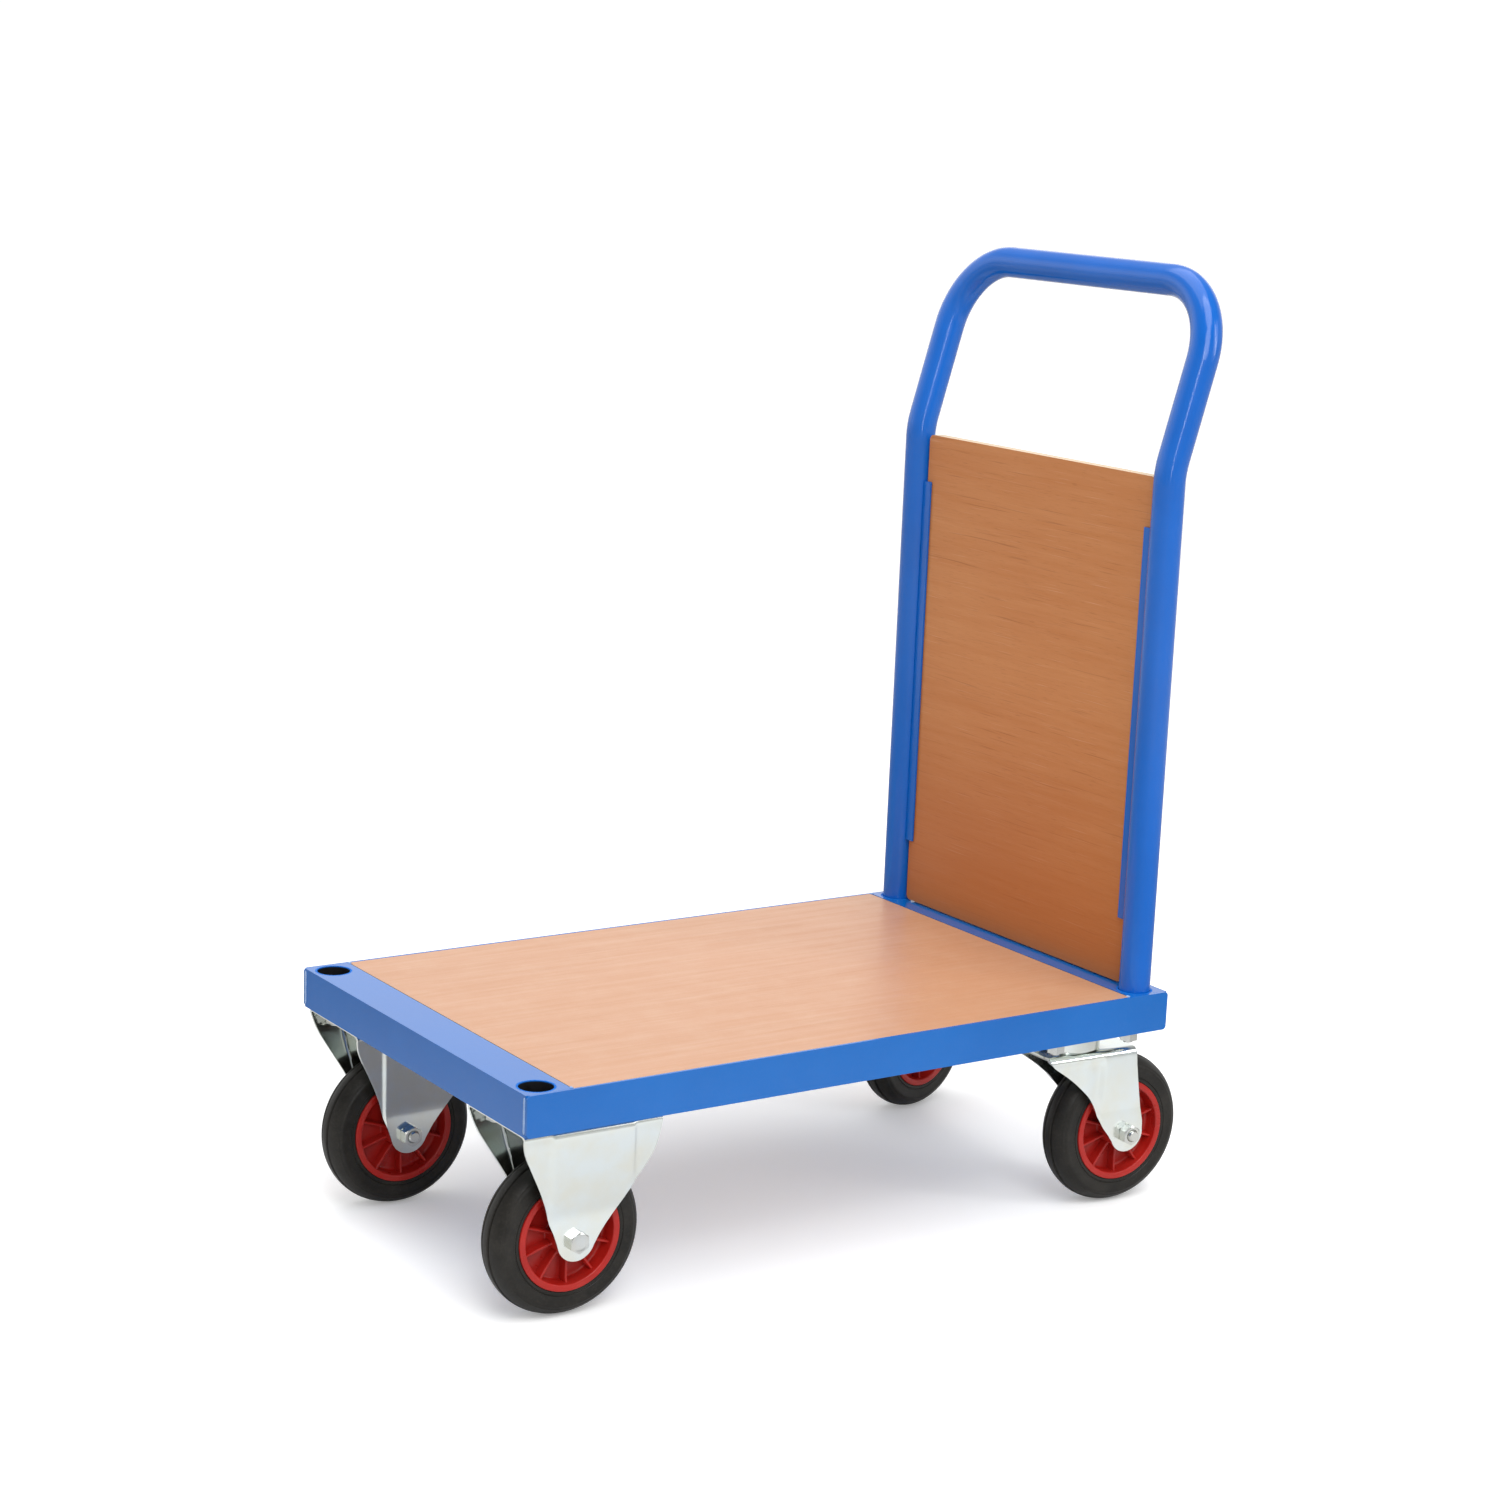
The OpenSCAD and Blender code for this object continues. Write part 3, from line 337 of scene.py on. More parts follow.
def make_panel_wood():
    """Varnished beech plywood with level grain, and painted shade that makes it darker and redder
    towards its foot.
    """
    material, w, shader, coords = new_material("panel_beech")
    turned = w.node("ShaderNodeMapping", {
        "Vector": coords, "Rotation": (0, 0, math.pi / 2)}).outputs[0]
    grain = w.place(VENEER, {
        "Vector": turned, "Light": (0.60, 0.255, 0.090), "Dark": (0.49, 0.165, 0.042),
        "Fleck": (0.27, 0.075, 0.018), "Band Amount": 0.9, "Fleck Amount": 0.45})
    ply = ply_layers(w, coords, 0, (0.86, 0.70, 0.47), (0.55, 0.33, 0.17))
    face = face_mask(w, 0)
    height = w.node("ShaderNodeSeparateXYZ", {0: coords}).outputs[2]
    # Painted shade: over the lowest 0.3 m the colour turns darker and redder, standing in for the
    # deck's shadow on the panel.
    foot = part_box("back_panel")[0].z
    foot_shade_mask = w.span(height, foot, foot + 0.30, 1.0, 0.0, smooth=True)
    with_painted_foot_shade = w.blend(w.math("MULTIPLY", foot_shade_mask, 0.62), grain["Color"], (0.40, 0.105, 0.016))
    w.feed(shader.inputs["Base Color"], w.blend(face, ply, with_painted_foot_shade))
    w.feed(shader.inputs["Roughness"], grain["Roughness"])
    bump(w, shader, grain["Height"], 0.3, 0.0003)
    coat(shader, 0.06, 0.2)
    shader.inputs["Specular IOR Level"].default_value = 0.3
    return material


def face_mask(w, axis):
    """1 on the board's two big faces, 0 on its edges."""
    normal = w.node("ShaderNodeNewGeometry").outputs["Normal"]
    turned = w.node("ShaderNodeVectorTransform", {0: normal}, vector_type="NORMAL",
                    convert_from="WORLD", convert_to="OBJECT").outputs[0]
    side = w.node("ShaderNodeSeparateXYZ", {0: turned}).outputs[axis]
    return w.span(w.math("ABSOLUTE", side), 0.7, 0.9)


PLY = 0.0017


def ply_layers(w, coords, axis, pale, dark):
    """Bands of pale and dark plies across the board's thickness."""
    along = w.node("ShaderNodeSeparateXYZ", {0: coords}).outputs[axis]
    wave = w.math("SINE", w.math("MULTIPLY", along, math.pi / PLY))
    speck = w.noise(w.stretch(coords, (500.0, 500.0, 500.0)), 1.0, 2.0)
    mixed = w.math("ADD", w.span(wave, -0.25, 0.25), w.span(speck, 0.4, 0.7, -0.25, 0.25),
                   clamp=True)
    return w.blend(mixed, pale, dark)


def make_rubber():
    """Brown-black solid rubber."""
    material, w, shader, coords = new_material("tyre_rubber_skin")
    patches = w.place(PATCHES, {"Vector": coords, "Cloud Scale": 22.0, "Grain Scale": 1500.0,
                                "Low": 0.34, "High": 0.50})
    tone = w.blend(patches["Cloud"], (0.007, 0.0065, 0.005), (0.013, 0.0115, 0.009))
    film = w.place(DUST, {"Vector": coords, "Base": tone, "Dust": (0.13, 0.115, 0.095),
                          "Amount": 0.15})
    w.feed(shader.inputs["Base Color"], film["Color"])
    w.feed(shader.inputs["Roughness"], patches["Roughness"])
    bump(w, shader, patches["Height"], 0.2, 0.0003)
    shader.inputs["Specular IOR Level"].default_value = 0.3
    return material


def make_plastic(name, deep, pale, low, high):
    """Moulded plastic; low and high are its roughness."""
    material, w, shader, coords = new_material(name)
    patches = w.place(PATCHES, {"Vector": coords, "Cloud Scale": 30.0, "Grain Scale": 1100.0,
                                "Low": low, "High": high})
    tone = w.blend(patches["Cloud"], deep, pale)
    film = w.place(DUST, {"Vector": coords, "Base": tone, "Dust": (0.40, 0.22, 0.18),
                          "Amount": 0.06})
    w.feed(shader.inputs["Base Color"], film["Color"])
    w.feed(shader.inputs["Roughness"], patches["Roughness"])
    shader.inputs["Specular IOR Level"].default_value = 0.35
    bump(w, shader, patches["Height"], 0.15, 0.0002)
    return material


BLUE = make_blue_paint(
    "blue_powder_coat", (0.002, 0.122, 0.455), (0.003, 0.138, 0.500), 0.012)
TUBE_BLUE = make_blue_paint(
    "blue_tube_coat", (0.001, 0.108, 0.480), (0.001, 0.125, 0.550), 0.006, 0.04)
# Weld beads: the pale tones and heavy film are a painted glint along the welded corners, over some
# settled dust.
WELD_BLUE_WITH_GLINT = make_blue_paint(
    "blue_weld_coat_painted_glint", (0.10, 0.26, 0.60), (0.55, 0.68, 0.85), 0.6, 0.35)
ZINC = make_zinc("bright_zinc_plate", (0.80, 0.835, 0.81), 0.11, 0.18, 5.0)
BOLT_ZINC = make_zinc("bolt_zinc", (0.66, 0.67, 0.65), 0.14, 0.26, 60.0, 0.1)
DECK_WOOD = make_deck_wood()
PANEL_WOOD = make_panel_wood()
RUBBER = make_rubber()
RED = make_plastic(
    "red_polypropylene", (0.36, 0.009, 0.006), (0.44, 0.014, 0.009), 0.26, 0.36)
BLACK = make_plastic(
    "black_spacer_plastic", (0.012, 0.012, 0.012), (0.022, 0.022, 0.022), 0.45, 0.6)


def make_socket_steel_and_shade():
    """Blue on the cup's rim; below it bare dark steel, made near black by painted shadow."""
    material, w, shader, coords = new_material("socket_dark_steel_and_painted_shade")
    height = w.node("ShaderNodeSeparateXYZ", {0: coords}).outputs[2]
    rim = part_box("front_left_socket")[1].z
    inside = w.span(height, rim - 0.0012, rim - 0.0004, 1.0, 0.0)
    patches = w.place(PATCHES, {"Vector": coords, "Cloud Scale": 60.0, "Grain Scale": 900.0,
                                "Low": 0.5, "High": 0.8})
    # Painted shadow: the cup's inside is near black, dark steel with the shade inside the socket
    # painted into its colour.
    dark = w.blend(patches["Cloud"], (0.003, 0.003, 0.004), (0.010, 0.010, 0.012))
    w.feed(shader.inputs["Base Color"], w.blend(inside, (0.002, 0.14, 0.58), dark))
    w.feed(shader.inputs["Roughness"], patches["Roughness"])
    shader.inputs["Specular IOR Level"].default_value = 0.2
    bump(w, shader, patches["Height"], 0.3, 0.0003)
    return material


SOCKET_STEEL_AND_SHADE = make_socket_steel_and_shade()

# The finish of each of the record's material slots
FINISH = {
    "blue_paint": BLUE, "bright_zinc": ZINC, "deck_plywood": DECK_WOOD,
    "panel_plywood": PANEL_WOOD, "tyre_rubber": RUBBER, "red_plastic": RED,
    "black_plastic": BLACK,
}


# ---------------------------------------------------------------- mesh helpers

def finish_piece(name, bm, body, material, stands_for=(), sharp=35.0, place=None):
    """Makes a mesh object from bm, with smooth shading, a finish and a body to ride on.

    stands_for are the CAD nodes it replaces, and edges over sharp degrees stay crisp.
    """
    bmesh.ops.recalc_face_normals(bm, faces=bm.faces)
    mesh = bpy.data.meshes.new(name)
    bm.to_mesh(mesh)
    bm.free()
    if place is not None:
        mesh.transform(place)
    mesh.polygons.foreach_set("use_smooth", [True] * len(mesh.polygons))
    mesh.set_sharp_from_angle(angle=math.radians(sharp))
    mesh.materials.append(material)
    piece = bpy.data.objects.new(name, mesh)
    bpy.context.scene.collection.objects.link(piece)
    if stands_for:
        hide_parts(*stands_for)
    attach(piece, body)
    return piece


def rounded_path(points, radii, steps=5):
    """A flat path whose corners are rounded; radii has one value for each point."""
    made = []
    last = len(points) - 1
    for i, (point, radius) in enumerate(zip(points, radii)):
        here = Vector(point)
        if radius <= 0 or i in (0, last):
            made.append(here)
            continue
        to_before = Vector(points[i - 1]) - here
        to_after = Vector(points[i + 1]) - here
        half = to_before.angle(to_after) / 2
        room = 0.49 * min(to_before.length, to_after.length)
        reach = min(radius / math.tan(half), room)
        before, after = to_before.normalized(), to_after.normalized()
        centre = here + (before + after).normalized() * (reach / math.cos(half))
        start, end = here + before * reach - centre, here + after * reach - centre
        turn = start.angle(end)
        for k in range(steps + 1):
            a = turn * k / steps
            made.append(centre + (start * math.sin(turn - a) + end * math.sin(a)) / math.sin(turn))
    return [(p.x, p.y) for p in made]


def lathe(bm, profile, segments):
    """Turns a closed profile of (radius, along) about Y."""
    rings = []
    for k in range(segments):
        a = 2 * math.pi * k / segments
        rings.append([bm.verts.new((r * math.cos(a), y, r * math.sin(a))) for r, y in profile])
    count = len(profile)
    for k in range(segments):
        one, two = rings[k], rings[(k + 1) % segments]
        for i in range(count):
            j = (i + 1) % count
            bm.faces.new((one[i], one[j], two[j], two[i]))


def strip(bm, rows, closed_rows=False):
    """Quads between rows of equal length; returns the rows' vertices."""
    made = [[bm.verts.new(p) for p in row] for row in rows]
    for one, two in zip(made, made[1:]):
        for i in range(len(one) if closed_rows else len(one) - 1):
            j = (i + 1) % len(one)
            bm.faces.new((one[i], one[j], two[j], two[i]))
    return made


def cap(bm, ring):
    """One face over a ring of vertices."""
    bm.faces.new(ring)


def about(place, axis):
    """A frame at place whose Y runs along axis and whose Z is up."""
    y = axis.normalized()
    x = y.cross(Vector((0, 0, 1))).normalized()
    z = x.cross(y)
    made = Matrix((x, y, z)).transposed().to_4x4()
    made.translation = place
    return made


# ---------------------------------------------------------------- softened plates and boards

CREASE = 40.0


def soften(node, body, material, width):
    """A copy of a CAD node with small rounded edges, as folding, sawing and coating leave."""
    bm = bmesh.new()
    bm.from_mesh(NODES[node].data)
    bmesh.ops.remove_doubles(bm, verts=bm.verts, dist=1e-6)
    bmesh.ops.dissolve_limit(bm, angle_limit=math.radians(0.5), verts=bm.verts, edges=bm.edges)
    piece = finish_piece(node + "_finished", bm, body, material, [node], CREASE)
    edge = piece.modifiers.new("eased_edges", "BEVEL")
    edge.width = width
    edge.segments = 2
    edge.limit_method = "ANGLE"
    edge.angle_limit = math.radians(CREASE)
    edge.harden_normals = True


for plate in ("front_beam", "rear_beam", "left_side_rail", "right_side_rail"):
    soften(plate, "chassis", BLUE, 0.0009)
soften("deck_board", "chassis", DECK_WOOD, 0.0004)
soften("back_panel", "handle_end", PANEL_WOOD, 0.0006)
for side in SIDES:
    soften(side + "_panel_channel", "handle_end", TUBE_BLUE, 0.0004)


# ---------------------------------------------------------------- pressed forks

# Forks are drawn in millimetres about their axle: x along the wheel, w across it, h up
FOOT = 20.0
LEG = 31.0
SHEET = 3.0
ROW_STEP = 3.2


def edge_at(edge, height):
    """The outline's distance from the axle at a height; edge has (distance, height) points."""
    points = sorted((h, d) for d, h in edge)
    if height <= points[0][0]:
        return points[0][1]
    for (h0, d0), (h1, d1) in zip(points, points[1:]):
        if height <= h1:
            return d0 + (d1 - d0) * (height - h0) / (h1 - h0)
    return points[-1][1]


def soft_edge(edge, height, reach=7.0):
    """The outline with its corners eased over a short reach."""
    return sum(edge_at(edge, height + reach * t) * g
               for t, g in ((-1, 0.15), (-0.5, 0.2), (0, 0.3), (0.5, 0.2), (1, 0.15)))


def ease(value):
    """A smooth step from 0 to 1."""
    value = min(1.0, max(0.0, value))
    return value * value * (3 - 2 * value)


def pressed_fork(name, node, body, place, section, front, rear, recess, top_front, columns=104):
    """One bent sheet: foot, leg, top and the other leg.

    section is half of it, from a foot to the middle; front and rear are the leg's outline;
    recess gives the depth of the pressing, and top_front how far the top's front is cut back.
    """
    rows = section + [(-w, h) for w, h in reversed(section[:-1])]
    bm = bmesh.new()
    grid = []
    top = section[-1][1]
    for w, h in rows:
        foot = math.sqrt(max(0.0, FOOT * FOOT - h * h)) if h < FOOT else 0.0
        if h < -0.3 * FOOT:
            x0, x1 = -foot, foot
        else:
            x0 = min(soft_edge(front, h), -foot)
            x1 = max(soft_edge(rear, h), foot)
        if h > top - 0.5:
            x0 += top_front(abs(w))
        row = []
        for k in range(columns + 1):
            x = x0 + (x1 - x0) * k / columns
            sunk = math.copysign(recess(x, h), w) if w else 0.0
            row.append((x * MM, (w - sunk) * MM, h * MM))
        grid.append(row)
    strip(bm, grid)
    bmesh.ops.remove_doubles(bm, verts=bm.verts, dist=2e-6)
    piece = finish_piece(name, bm, body, ZINC, [node], sharp=50.0, place=place)
    sheet = piece.modifiers.new("sheet", "SOLIDIFY")
    sheet.thickness = SHEET * MM
    sheet.offset = -1.0
    rim = piece.modifiers.new("sheared_edge", "BEVEL")
    rim.width = 0.6 * MM
    rim.segments = 2
    rim.limit_method = "ANGLE"
    rim.angle_limit = math.radians(60)


def dense(path, step):
    """More points along a path, so that its pressed shape has enough rows."""
    made = [path[0]]
    for a, b in zip(path, path[1:]):
        length = math.dist(a, b)
        count = max(1, int(length / step))
        made += [(a[0] + (b[0] - a[0]) * k / count, a[1] + (b[1] - a[1]) * k / count)
                 for k in range(1, count + 1)]
    return made


def fork_section(lean_start, corner, height, corner_radius):
    """Half of a fork's end view: rounded foot, straight leg, leaning leg, bend and top."""
    feet = [(LEG, -FOOT * math.cos(math.radians(a))) for a in (1, 8, 16, 25, 34, 43, 52, 61, 70)]
    points = [(LEG, -3), (LEG, lean_start), (corner, height), (0, height)]
    return feet + dense(rounded_path(points, [0, 40, corner_radius, 0], 7), ROW_STEP)


def fixed_recess(x, h):
    """Pressed steps ahead of and behind the flat middle of a fixed fork's leg."""
    lead = -26.5 - (h - 17) * 0.150
    trail_line = 59 - (h - 38) * 0.172
    depth = 2.7 * ease((lead - x) / 2.2 + 0.5) + 1.6 * ease((x - trail_line) / 3 + 0.5)
    return depth * ease((h - 2) / 16) * ease((117 - h) / 8)


FIXED_FRONT = [(-70.5, 120), (-70.5, 116), (-67, 100), (-60.5, 87), (-43, 56), (-33, 35),
               (-27.5, 18), (-18.6, -6)]
FIXED_REAR = [(75.5, 120), (75.5, 99), (74, 84), (67, 67), (55, 47), (43.5, 27), (27.5, 8),
              (17.2, -9.4)]

for side in SIDES:
    axle = joint_place(f"front_{side}_wheel_spin")
    fork_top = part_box(f"front_{side}_fork")[1].z
    pressed_fork(f"{side}_fixed_fork_pressing", f"front_{side}_fork", "chassis",
                 Matrix.Translation(axle),
                 fork_section(25, 57.6, (fork_top - axle.z) / MM, 8),
                 FIXED_FRONT, FIXED_REAR, fixed_recess, lambda w: 0.0)


def swivel_recess(x, h):
    """A pressed step with a soft ridge ahead of it, on a swivel fork's leg."""
    step = 2.6 * ease((-37 - (h - 14) * 0.02 - x) / 2.2 + 0.5)
    ridge = 1.6 * math.exp(-((x + 53 + (h - 14) * 0.05) / 5.0) ** 2)
    return (step - ridge) * ease((h - 4) / 14) * ease((90 - h) / 8)


def crown_corner(w):
    """How far the crown's front is cut back towards its corners."""
    return 6.0 * max(0.0, (w - 22.0) / 14.0) ** 2


SWIVEL_FRONT = [(-109, 91), (-104, 85.5), (-86, 74.6), (-66, 59.2), (-48, 41), (-41, 30),
                (-35.5, 14.6), (-18.6, -6)]
SWIVEL_REAR = [(2, 91), (4.5, 76.4), (10.5, 48.2), (16.5, 22.8), (20.5, 7.3), (17.2, -9.4)]

for side in SIDES:
    axle = joint_place(f"rear_{side}_wheel_spin")
    along = joint_axis(f"rear_{side}_wheel_spin")
    crown_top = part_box(f"{side}_swivel_fork")[1].z
    pressed_fork(f"{side}_swivel_fork_pressing", f"{side}_swivel_fork",
                 f"{side}_swivel_castor", about(axle, along),
                 fork_section(27, 36.9, (crown_top - axle.z) / MM, 7),
                 SWIVEL_FRONT, SWIVEL_REAR, swivel_recess, crown_corner, 96)


# ---------------------------------------------------------------- wheels

def tyre_profile():
    """Outer skin of a solid tyre: two tread grooves, shoulder edges and sidewall lines."""
    crown, centre, half, rim = 23.0, 57.0, 19.0, 53.6

    def tread(y):
        return centre + math.sqrt(crown * crown - y * y)

    wall = [(rim, half - 1.2), (rim + 0.6, half - 0.35), (rim + 1.8, half - 0.1),
            (rim + 3.2, half - 0.1), (rim + 3.7, half - 0.75), (rim + 4.3, half - 0.75),
            (rim + 4.8, half - 0.1), (65.4, half - 0.1), (65.8, half), (67.2, half),
            (68.4, half - 0.05), (69.3, half - 0.35), (70.0, half - 0.95)]
    across = [17.4, 16.6, 15.7, 14.6, 13.4, 12.0, 10.4, 8.8, 7.6]
    groove = [(tread(7.1), 7.1), (tread(6.9) - 0.4, 6.8), (tread(5.5) - 1.7, 6.4),
              (tread(5.5) - 1.9, 5.5), (tread(5.5) - 1.7, 4.6), (tread(4.1) - 0.4, 4.2),
              (tread(3.9), 3.9)]
    tops = [(tread(y), y) for y in across]
    crown_mid = [(tread(y), y) for y in (3.0, 2.0, 0.9)]
    upper = wall + tops + groove + crown_mid
    return upper + [(r, -y) for r, y in reversed(upper)]


def wheel_profile():
    """Section of the wheel centre: rim, web and hub, with moulded corner radii."""
    corners = [(53.5, 0), (53.5, 19.9), (46.8, 19.9), (46.2, 3.6), (17.8, 4.4),
               (16.8, 21.5), (12.05, 21.5), (12.05, 0)]
    upper = rounded_path(corners, [0, 0.9, 1.6, 3.0, 2.2, 0.9, 0.5, 0], 4)
    return upper + [(r, -y) for r, y in reversed(upper[1:-1])]


TYRE_STEPS, CENTRE_STEPS = 160, 128
RIBS = 10
RIB_TOP = 14.9
# How far the ribs' tops dip, at each radius from hub to rim
RIB_DIPS = ((16.2, 0.0), (17.6, 0.4), (21, 0.9), (32, 1.2), (43, 0.9), (46, 0.2), (47.4, 0))


def add_ribs(bm):
    """Ribs on each face between hub and rim, tapered and rounded like moulded ones."""
    corners = [(-2.0, 3.0), (-1.25, RIB_TOP), (1.25, RIB_TOP), (2.0, 3.0)]
    outline = rounded_path(corners, [0, 1.0, 1.0, 0], 3)
    for k in range(RIBS):
        a = (k + 0.5) * 2 * math.pi / RIBS
        out = Vector((math.cos(a), 0, math.sin(a)))
        over = Vector((-math.sin(a), 0, math.cos(a)))
        for s in (-1, 1):
            rows = []
            for r, dip in RIB_DIPS:
                rows.append([out * r + over * t + Vector((0, s * (y - dip * (y > 6)), 0))
                             for t, y in outline])
            made = strip(bm, [[v * MM for v in row] for row in rows])
            cap(bm, [ring[0] for ring in made] + [ring[-1] for ring in reversed(made)])
            cap(bm, made[0])
            cap(bm, made[-1])


for wheel in WHEELS:
    spin = wheel + "_wheel_spin"
    place = about(joint_place(spin), joint_axis(spin))
    bm = bmesh.new()
    lathe(bm, [(r * MM, y * MM) for r, y in tyre_profile()], TYRE_STEPS)
    finish_piece(wheel + "_rubber_tyre", bm, wheel + "_wheel", RUBBER,
                 [wheel + "_tyre"], 24.0, place)
    bm = bmesh.new()
    lathe(bm, [(r * MM, y * MM) for r, y in wheel_profile()], CENTRE_STEPS)
    add_ribs(bm)
    finish_piece(wheel + "_moulded_centre", bm, wheel + "_wheel", RED,
                 [wheel + "_wheel_centre"], 32.0, place)


# ---------------------------------------------------------------- bolts and nuts

AROUND = 72
FLATS = 19.0
CHAMFER_START = FLATS / 2 * 0.94
CHAMFER_SLOPE = math.tan(math.radians(28))
SHANK = 6.0
HEAD_HEIGHT, NUT_HEIGHT = 7.4, 10.0
THREAD_PITCH = 1.75


def hex_rows(start, height, chamfer_low=False):
    """Rows of a hexagon whose ends are chamfered by a cone, as forged heads and nuts are."""
    rows = [[], [], [], []]
    for k in range(AROUND):
        a = 2 * math.pi * k / AROUND
        reach = FLATS / 2 / math.cos(math.radians((math.degrees(a) + 30) % 60 - 30))
        cut = max(0.0, reach - CHAMFER_START) * CHAMFER_SLOPE
        low = cut if chamfer_low else 0.0
        ends = ((CHAMFER_START if chamfer_low else reach, start), (reach, start + low),
                (reach, start + height - cut), (CHAMFER_START, start + height))
        for row, (r, y) in zip(rows, ends):
            row.append((r * math.cos(a), y, r * math.sin(a)))
    return rows if chamfer_low else rows[1:]


def add_rows(bm, rows):
    """A closed skin over rows in millimetres, with a face at each end."""
    made = strip(bm, [[Vector(p) * MM for p in row] for row in rows], True)
    cap(bm, made[0])
    cap(bm, made[-1])


def circle_row(radius, y):
    """A row of points round the Y axis."""
    turns = [2 * math.pi * k / AROUND for k in range(AROUND)]
    return [(radius * math.cos(a), y, radius * math.sin(a)) for a in turns]


def bolt_head(bm, start, height):
    """Head with a chamfered crown and a shallow dish, growing along +Y from start."""
    rows = hex_rows(start, height)
    top = start + height
    rows += [circle_row(CHAMFER_START * 0.93, top), circle_row(CHAMFER_START * 0.80, top - 0.45),
             circle_row(CHAMFER_START * 0.4, top - 0.55)]
    add_rows(bm, rows)


def plain_nut(bm, start, height, bore):
    """Nut chamfered on both faces, with a countersunk bore."""
    rows = hex_rows(start, height, True)
    rows += [circle_row(bore + 0.9, start + height), circle_row(bore, start + height - 0.7)]
    rows = [circle_row(bore, start + 0.7), circle_row(bore + 0.9, start)] + rows
    add_rows(bm, rows)


def threaded_end(bm, radius, start, end, pitch):
    """The bolt's end: thread crests and a chamfered tip, along +Y."""
    rows = [circle_row(radius - 0.3, start)]
    y = start
    while y + pitch < end - 1.2:
        rows += [circle_row(radius - 0.62, y + pitch * 0.25),
                 circle_row(radius - 0.02, y + pitch * 0.62)]
        y += pitch
    rows += [circle_row(radius - 0.5, end - 0.9), circle_row(radius - 1.2, end - 0.02)]
    add_rows(bm, rows)


def axle_set(prefix, bolt_node, nut_node, body, places):
    """Bolts and nuts through the forks; places are frames whose +Y points at the nut."""
    bolts, nuts = bmesh.new(), bmesh.new()
    for place in places:
        one, two = bmesh.new(), bmesh.new()
        bolt_head(one, LEG, HEAD_HEIGHT)
        bmesh.ops.rotate(one, verts=one.verts, matrix=Matrix.Rotation(math.pi, 3, "Z"))
        add_rows(one, [circle_row(SHANK, -LEG - 0.2), circle_row(SHANK, LEG + 9.5)])
        threaded_end(one, SHANK, LEG + 9.0, LEG + 13.0, THREAD_PITCH)
        plain_nut(two, LEG, NUT_HEIGHT, SHANK - 0.1)
        for source, target in ((one, bolts), (two, nuts)):
            mesh = bpy.data.meshes.new("part_of_" + prefix)
            source.to_mesh(mesh)
            source.free()
            mesh.transform(place)
            target.from_mesh(mesh)
            bpy.data.meshes.remove(mesh)
    for part, made, node in (("bolt", bolts, bolt_node), ("nut", nuts, nut_node)):
        finish_piece(f"{prefix}_axle_{part}_detail", made, body, BOLT_ZINC,
                     [node], 28.0)


axle_set("front", "front_axle_bolts", "front_axle_nuts", "chassis",
         [about(joint_place("front_left_wheel_spin"), Vector((0, 1, 0))),
          about(joint_place("front_right_wheel_spin"), Vector((0, -1, 0)))])
for side in SIDES:
    spin = f"rear_{side}_wheel_spin"
    axis = joint_axis(spin)
    nut_way = middle(f"{side}_rear_axle_nut") - joint_place(spin)
    axle_set(side + "_rear", f"{side}_rear_axle_bolt", f"{side}_rear_axle_nut",
             f"{side}_swivel_castor",
             [about(joint_place(spin), axis if nut_way.dot(axis) > 0 else -axis)])


# ---------------------------------------------------------------- weld beads

RIPPLE = 2.45
BEAD_SIDES = 14


def weld_bead(name, start, end, radius, out=(0, 0, 1)):
    """A rippled bead laid from start to end on the chassis; out is the way it stands proud."""
    start, end, out = Vector(start), Vector(end), Vector(out)
    along = (end - start).normalized()
    side = along.cross(out).normalized()
    length = (end - start).length
    steps = max(8, int(length / 0.0009))
    turns = [2 * math.pi * i / BEAD_SIDES for i in range(BEAD_SIDES)]
    rows = []
    for k in range(steps + 1):
        t = k / steps
        taper = math.sqrt(max(0.0, 1 - (2 * t - 1) ** 12))
        ripple = 1 + 0.10 * math.sin(2 * math.pi * t * length / MM / RIPPLE)
        ripple += 0.08 * math.sin(t * 23.0)
        r = max(1e-5, radius * taper * ripple)
        centre = start + along * length * t
        rows.append([centre + side * (r * math.cos(a)) + out * (r * 0.55 * math.sin(a))
                     for a in turns])
    bm = bmesh.new()
    made = strip(bm, rows, True)
    cap(bm, made[0])
    cap(bm, made[-1])
    finish_piece(name, bm, "chassis", WELD_BLUE_WITH_GLINT, sharp=60.0)


beam_low, beam_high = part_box("front_beam")
deck_low, deck_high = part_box("deck_board")
for side, sign in (("left", -1), ("right", 1)):
    edge_y = sign * beam_high.y
    corner = (beam_low.x - 0.0001, edge_y - sign * 0.0017)
    weld_bead(side + "_front_corner_weld", (*corner, beam_low.z + 0.003),
              (*corner, beam_high.z - 0.002), 0.0015, (-1, 0, 0))
    for end, x in (("front", deck_low.x - 0.0005), ("rear", deck_high.x + 0.0007)):
        weld_bead(f"{side}_{end}_deck_corner_weld",
                  (x, edge_y - sign * 0.0003, beam_high.z - 0.0001),
                  (x, edge_y - sign * 0.0042, beam_high.z - 0.0001), 0.0016)


# ---------------------------------------------------------------- finishes of the nodes that stay

OWN_FINISH = (("handle_tube", TUBE_BLUE), ("_socket", SOCKET_STEEL_AND_SHADE), ("_screws", BOLT_ZINC),
              ("castor_bolts", BOLT_ZINC), ("castor_nuts", BOLT_ZINC),
              ("castor_washers", BOLT_ZINC))

for node, thing in NODES.items():
    if thing.hide_render:
        continue
    packed = thing.material_slots[0].material.name
    finish = next((made for slot, made in FINISH.items() if packed.startswith(slot)), ZINC)
    finish = next((made for ending, made in OWN_FINISH if node.endswith(ending)), finish)
    for material_slot in thing.material_slots:
        material_slot.material = finish
    thing.data.polygons.foreach_set("use_smooth", [True] * len(thing.data.polygons))


# ---------------------------------------------------------------- studio

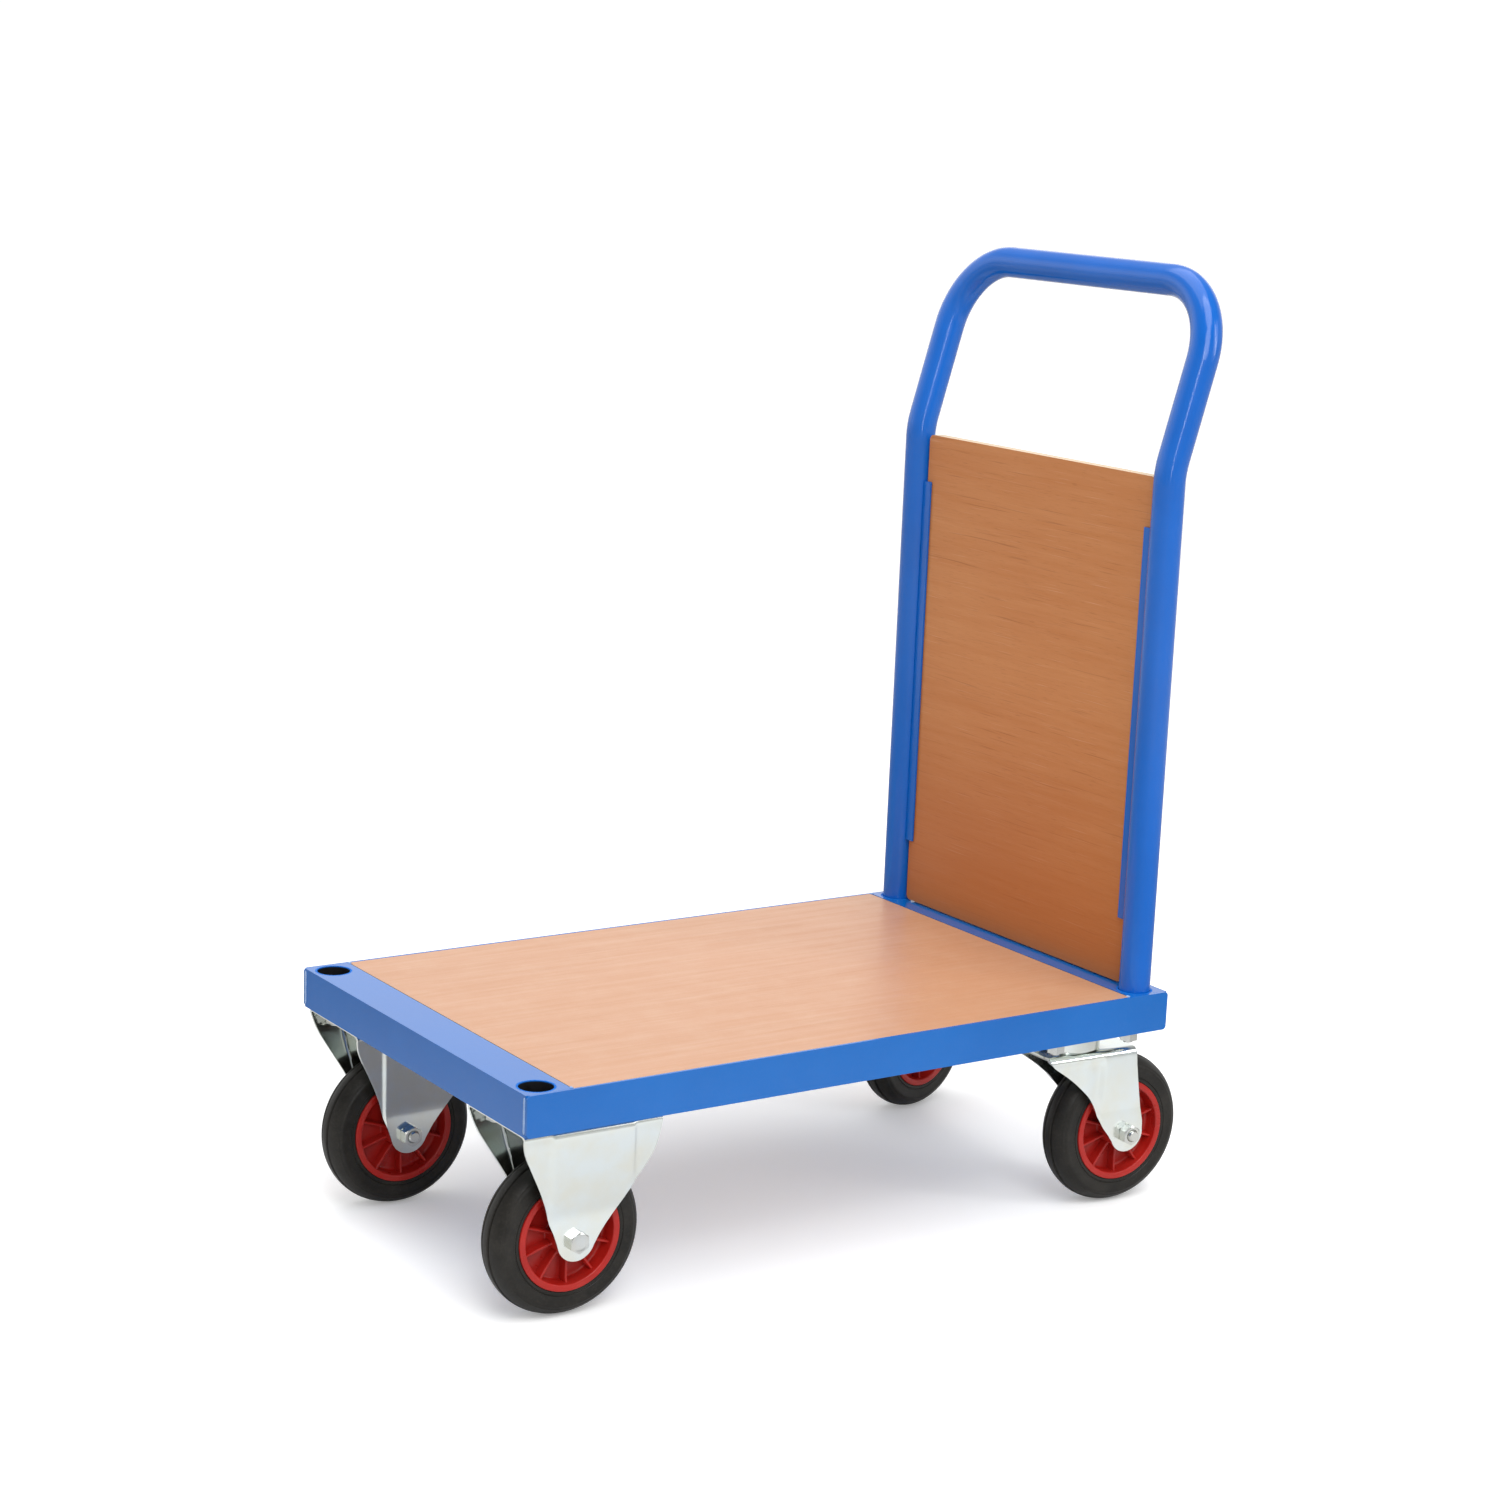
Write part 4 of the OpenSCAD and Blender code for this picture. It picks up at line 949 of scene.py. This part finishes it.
def stand(name, data, place, way):
    """Puts a light at a place, shining along way."""
    light = bpy.data.objects.new(name, data)
    bpy.context.scene.collection.objects.link(light)
    light.location = place
    light.rotation_mode = "QUATERNION"
    light.rotation_quaternion = way.to_track_quat("-Z", "Y")


def area_light(name, place, aim, size, power):
    """A rectangular softbox that points at aim."""
    data = bpy.data.lights.new(name, "AREA")
    data.shape = "RECTANGLE"
    data.size, data.size_y = size
    data.energy = power
    stand(name, data, place, Vector(aim) - Vector(place))


def make_surround():
    """Pale surround that is white behind the truck and darker in reflections at its sides."""
    world = bpy.data.worlds.new("studio_surround")
    bpy.context.scene.world = world
    world.use_nodes = True
    w = Wiring(world.node_tree)
    sky = world.node_tree.nodes["Background"]
    way = w.node("ShaderNodeTexCoord").outputs["Generated"]
    up = w.node("ShaderNodeSeparateXYZ", {0: way}).outputs[2]
    ramp = w.node("ShaderNodeValToRGB", {0: w.span(up, -1.0, 1.0)})
    stops = ramp.color_ramp.elements
    stops[0].position, stops[0].color = 0.45, (0.6, 0.6, 0.6, 1)
    stops[1].position, stops[1].color = 1.0, (0.8, 0.8, 0.8, 1)
    for at, tone in ((0.51, 0.85), (0.58, 1.15), (0.66, 1.0), (0.76, 0.45)):
        made = stops.new(at)
        made.color = (tone, tone, tone, 1)
    seen = w.node("ShaderNodeLightPath").outputs["Is Camera Ray"]
    ahead = w.node("ShaderNodeSeparateXYZ", {0: way}).outputs[1]
    facing = w.span(ahead, -0.1, 0.75, 0.55, 1.25, smooth=True)
    around = w.blend(1.0, ramp.outputs[0], facing, "MULTIPLY")
    w.feed(sky.inputs["Color"], w.blend(seen, around, (1.0, 1.0, 1.0)))
    w.feed(sky.inputs["Strength"], w.span(seen, 0.0, 1.0, 0.95, 1.05))


def make_floor():
    """Wide pale floor, white to the eye and greyer where metal reflects it."""
    bm = bmesh.new()
    bmesh.ops.create_circle(bm, cap_ends=True, segments=96, radius=40.0)
    mesh = bpy.data.meshes.new("studio_floor")
    bm.to_mesh(mesh)
    bm.free()
    material, w, shader, coords = new_material("floor_paint")
    cloud = w.noise(coords, 1.3, 3.0)
    seen = w.node("ShaderNodeLightPath").outputs["Is Camera Ray"]
    pale = w.blend(cloud, (0.92, 0.92, 0.92), (0.94, 0.94, 0.94))
    apart = w.node("ShaderNodeVectorMath", {0: coords}, operation="LENGTH").outputs["Value"]
    near = w.span(apart, 0.5, 1.3, 0.74, 0.30, smooth=True)
    far = w.span(apart, 1.6, 3.2, 0.0, 0.45, smooth=True)
    w.feed(shader.inputs["Base Color"], w.blend(seen, w.math("ADD", near, far), pale))
    shader.inputs["Roughness"].default_value = 0.8
    shader.inputs["Emission Color"].default_value = (1, 1, 1, 1)
    w.feed(shader.inputs["Emission Strength"], w.math("MULTIPLY", seen, 0.22))
    mesh.materials.append(material)
    floor = bpy.data.objects.new("studio_floor", mesh)
    bpy.context.scene.collection.objects.link(floor)


def make_lights():
    """Soft studio lights: key, fill and top boxes, two strips and an overhead sun."""
    area_light("key_softbox", (-1.2, -3.4, 3.0), (0, 0, 0.3), (2.2, 2.2), 58)
    area_light("left_strip", (-1.6, -2.9, 1.7), (0.2, 0, 0.6), (0.10, 2.0), 9)
    area_light("right_strip", (1.9, -2.3, 1.9), (0.3, 0, 0.8), (0.10, 1.8), 9)
    area_light("fill_softbox", (2.6, -3.0, 2.2), (0, 0, 0.3), (2.0, 2.0), 20)
    area_light("top_softbox", (0.2, 0.6, 3.6), (0, 0, 0.2), (3.0, 3.0), 45)
    sun = bpy.data.lights.new("soft_overhead", "SUN")
    sun.energy = 1.35
    sun.angle = math.radians(40)
    stand("soft_overhead", sun, (0, 0, 0), Vector((0.12, 0.45, -1.0)))


set_camera()
make_surround()
make_floor()
make_lights()
bpy.context.scene.view_settings.view_transform = "Standard"
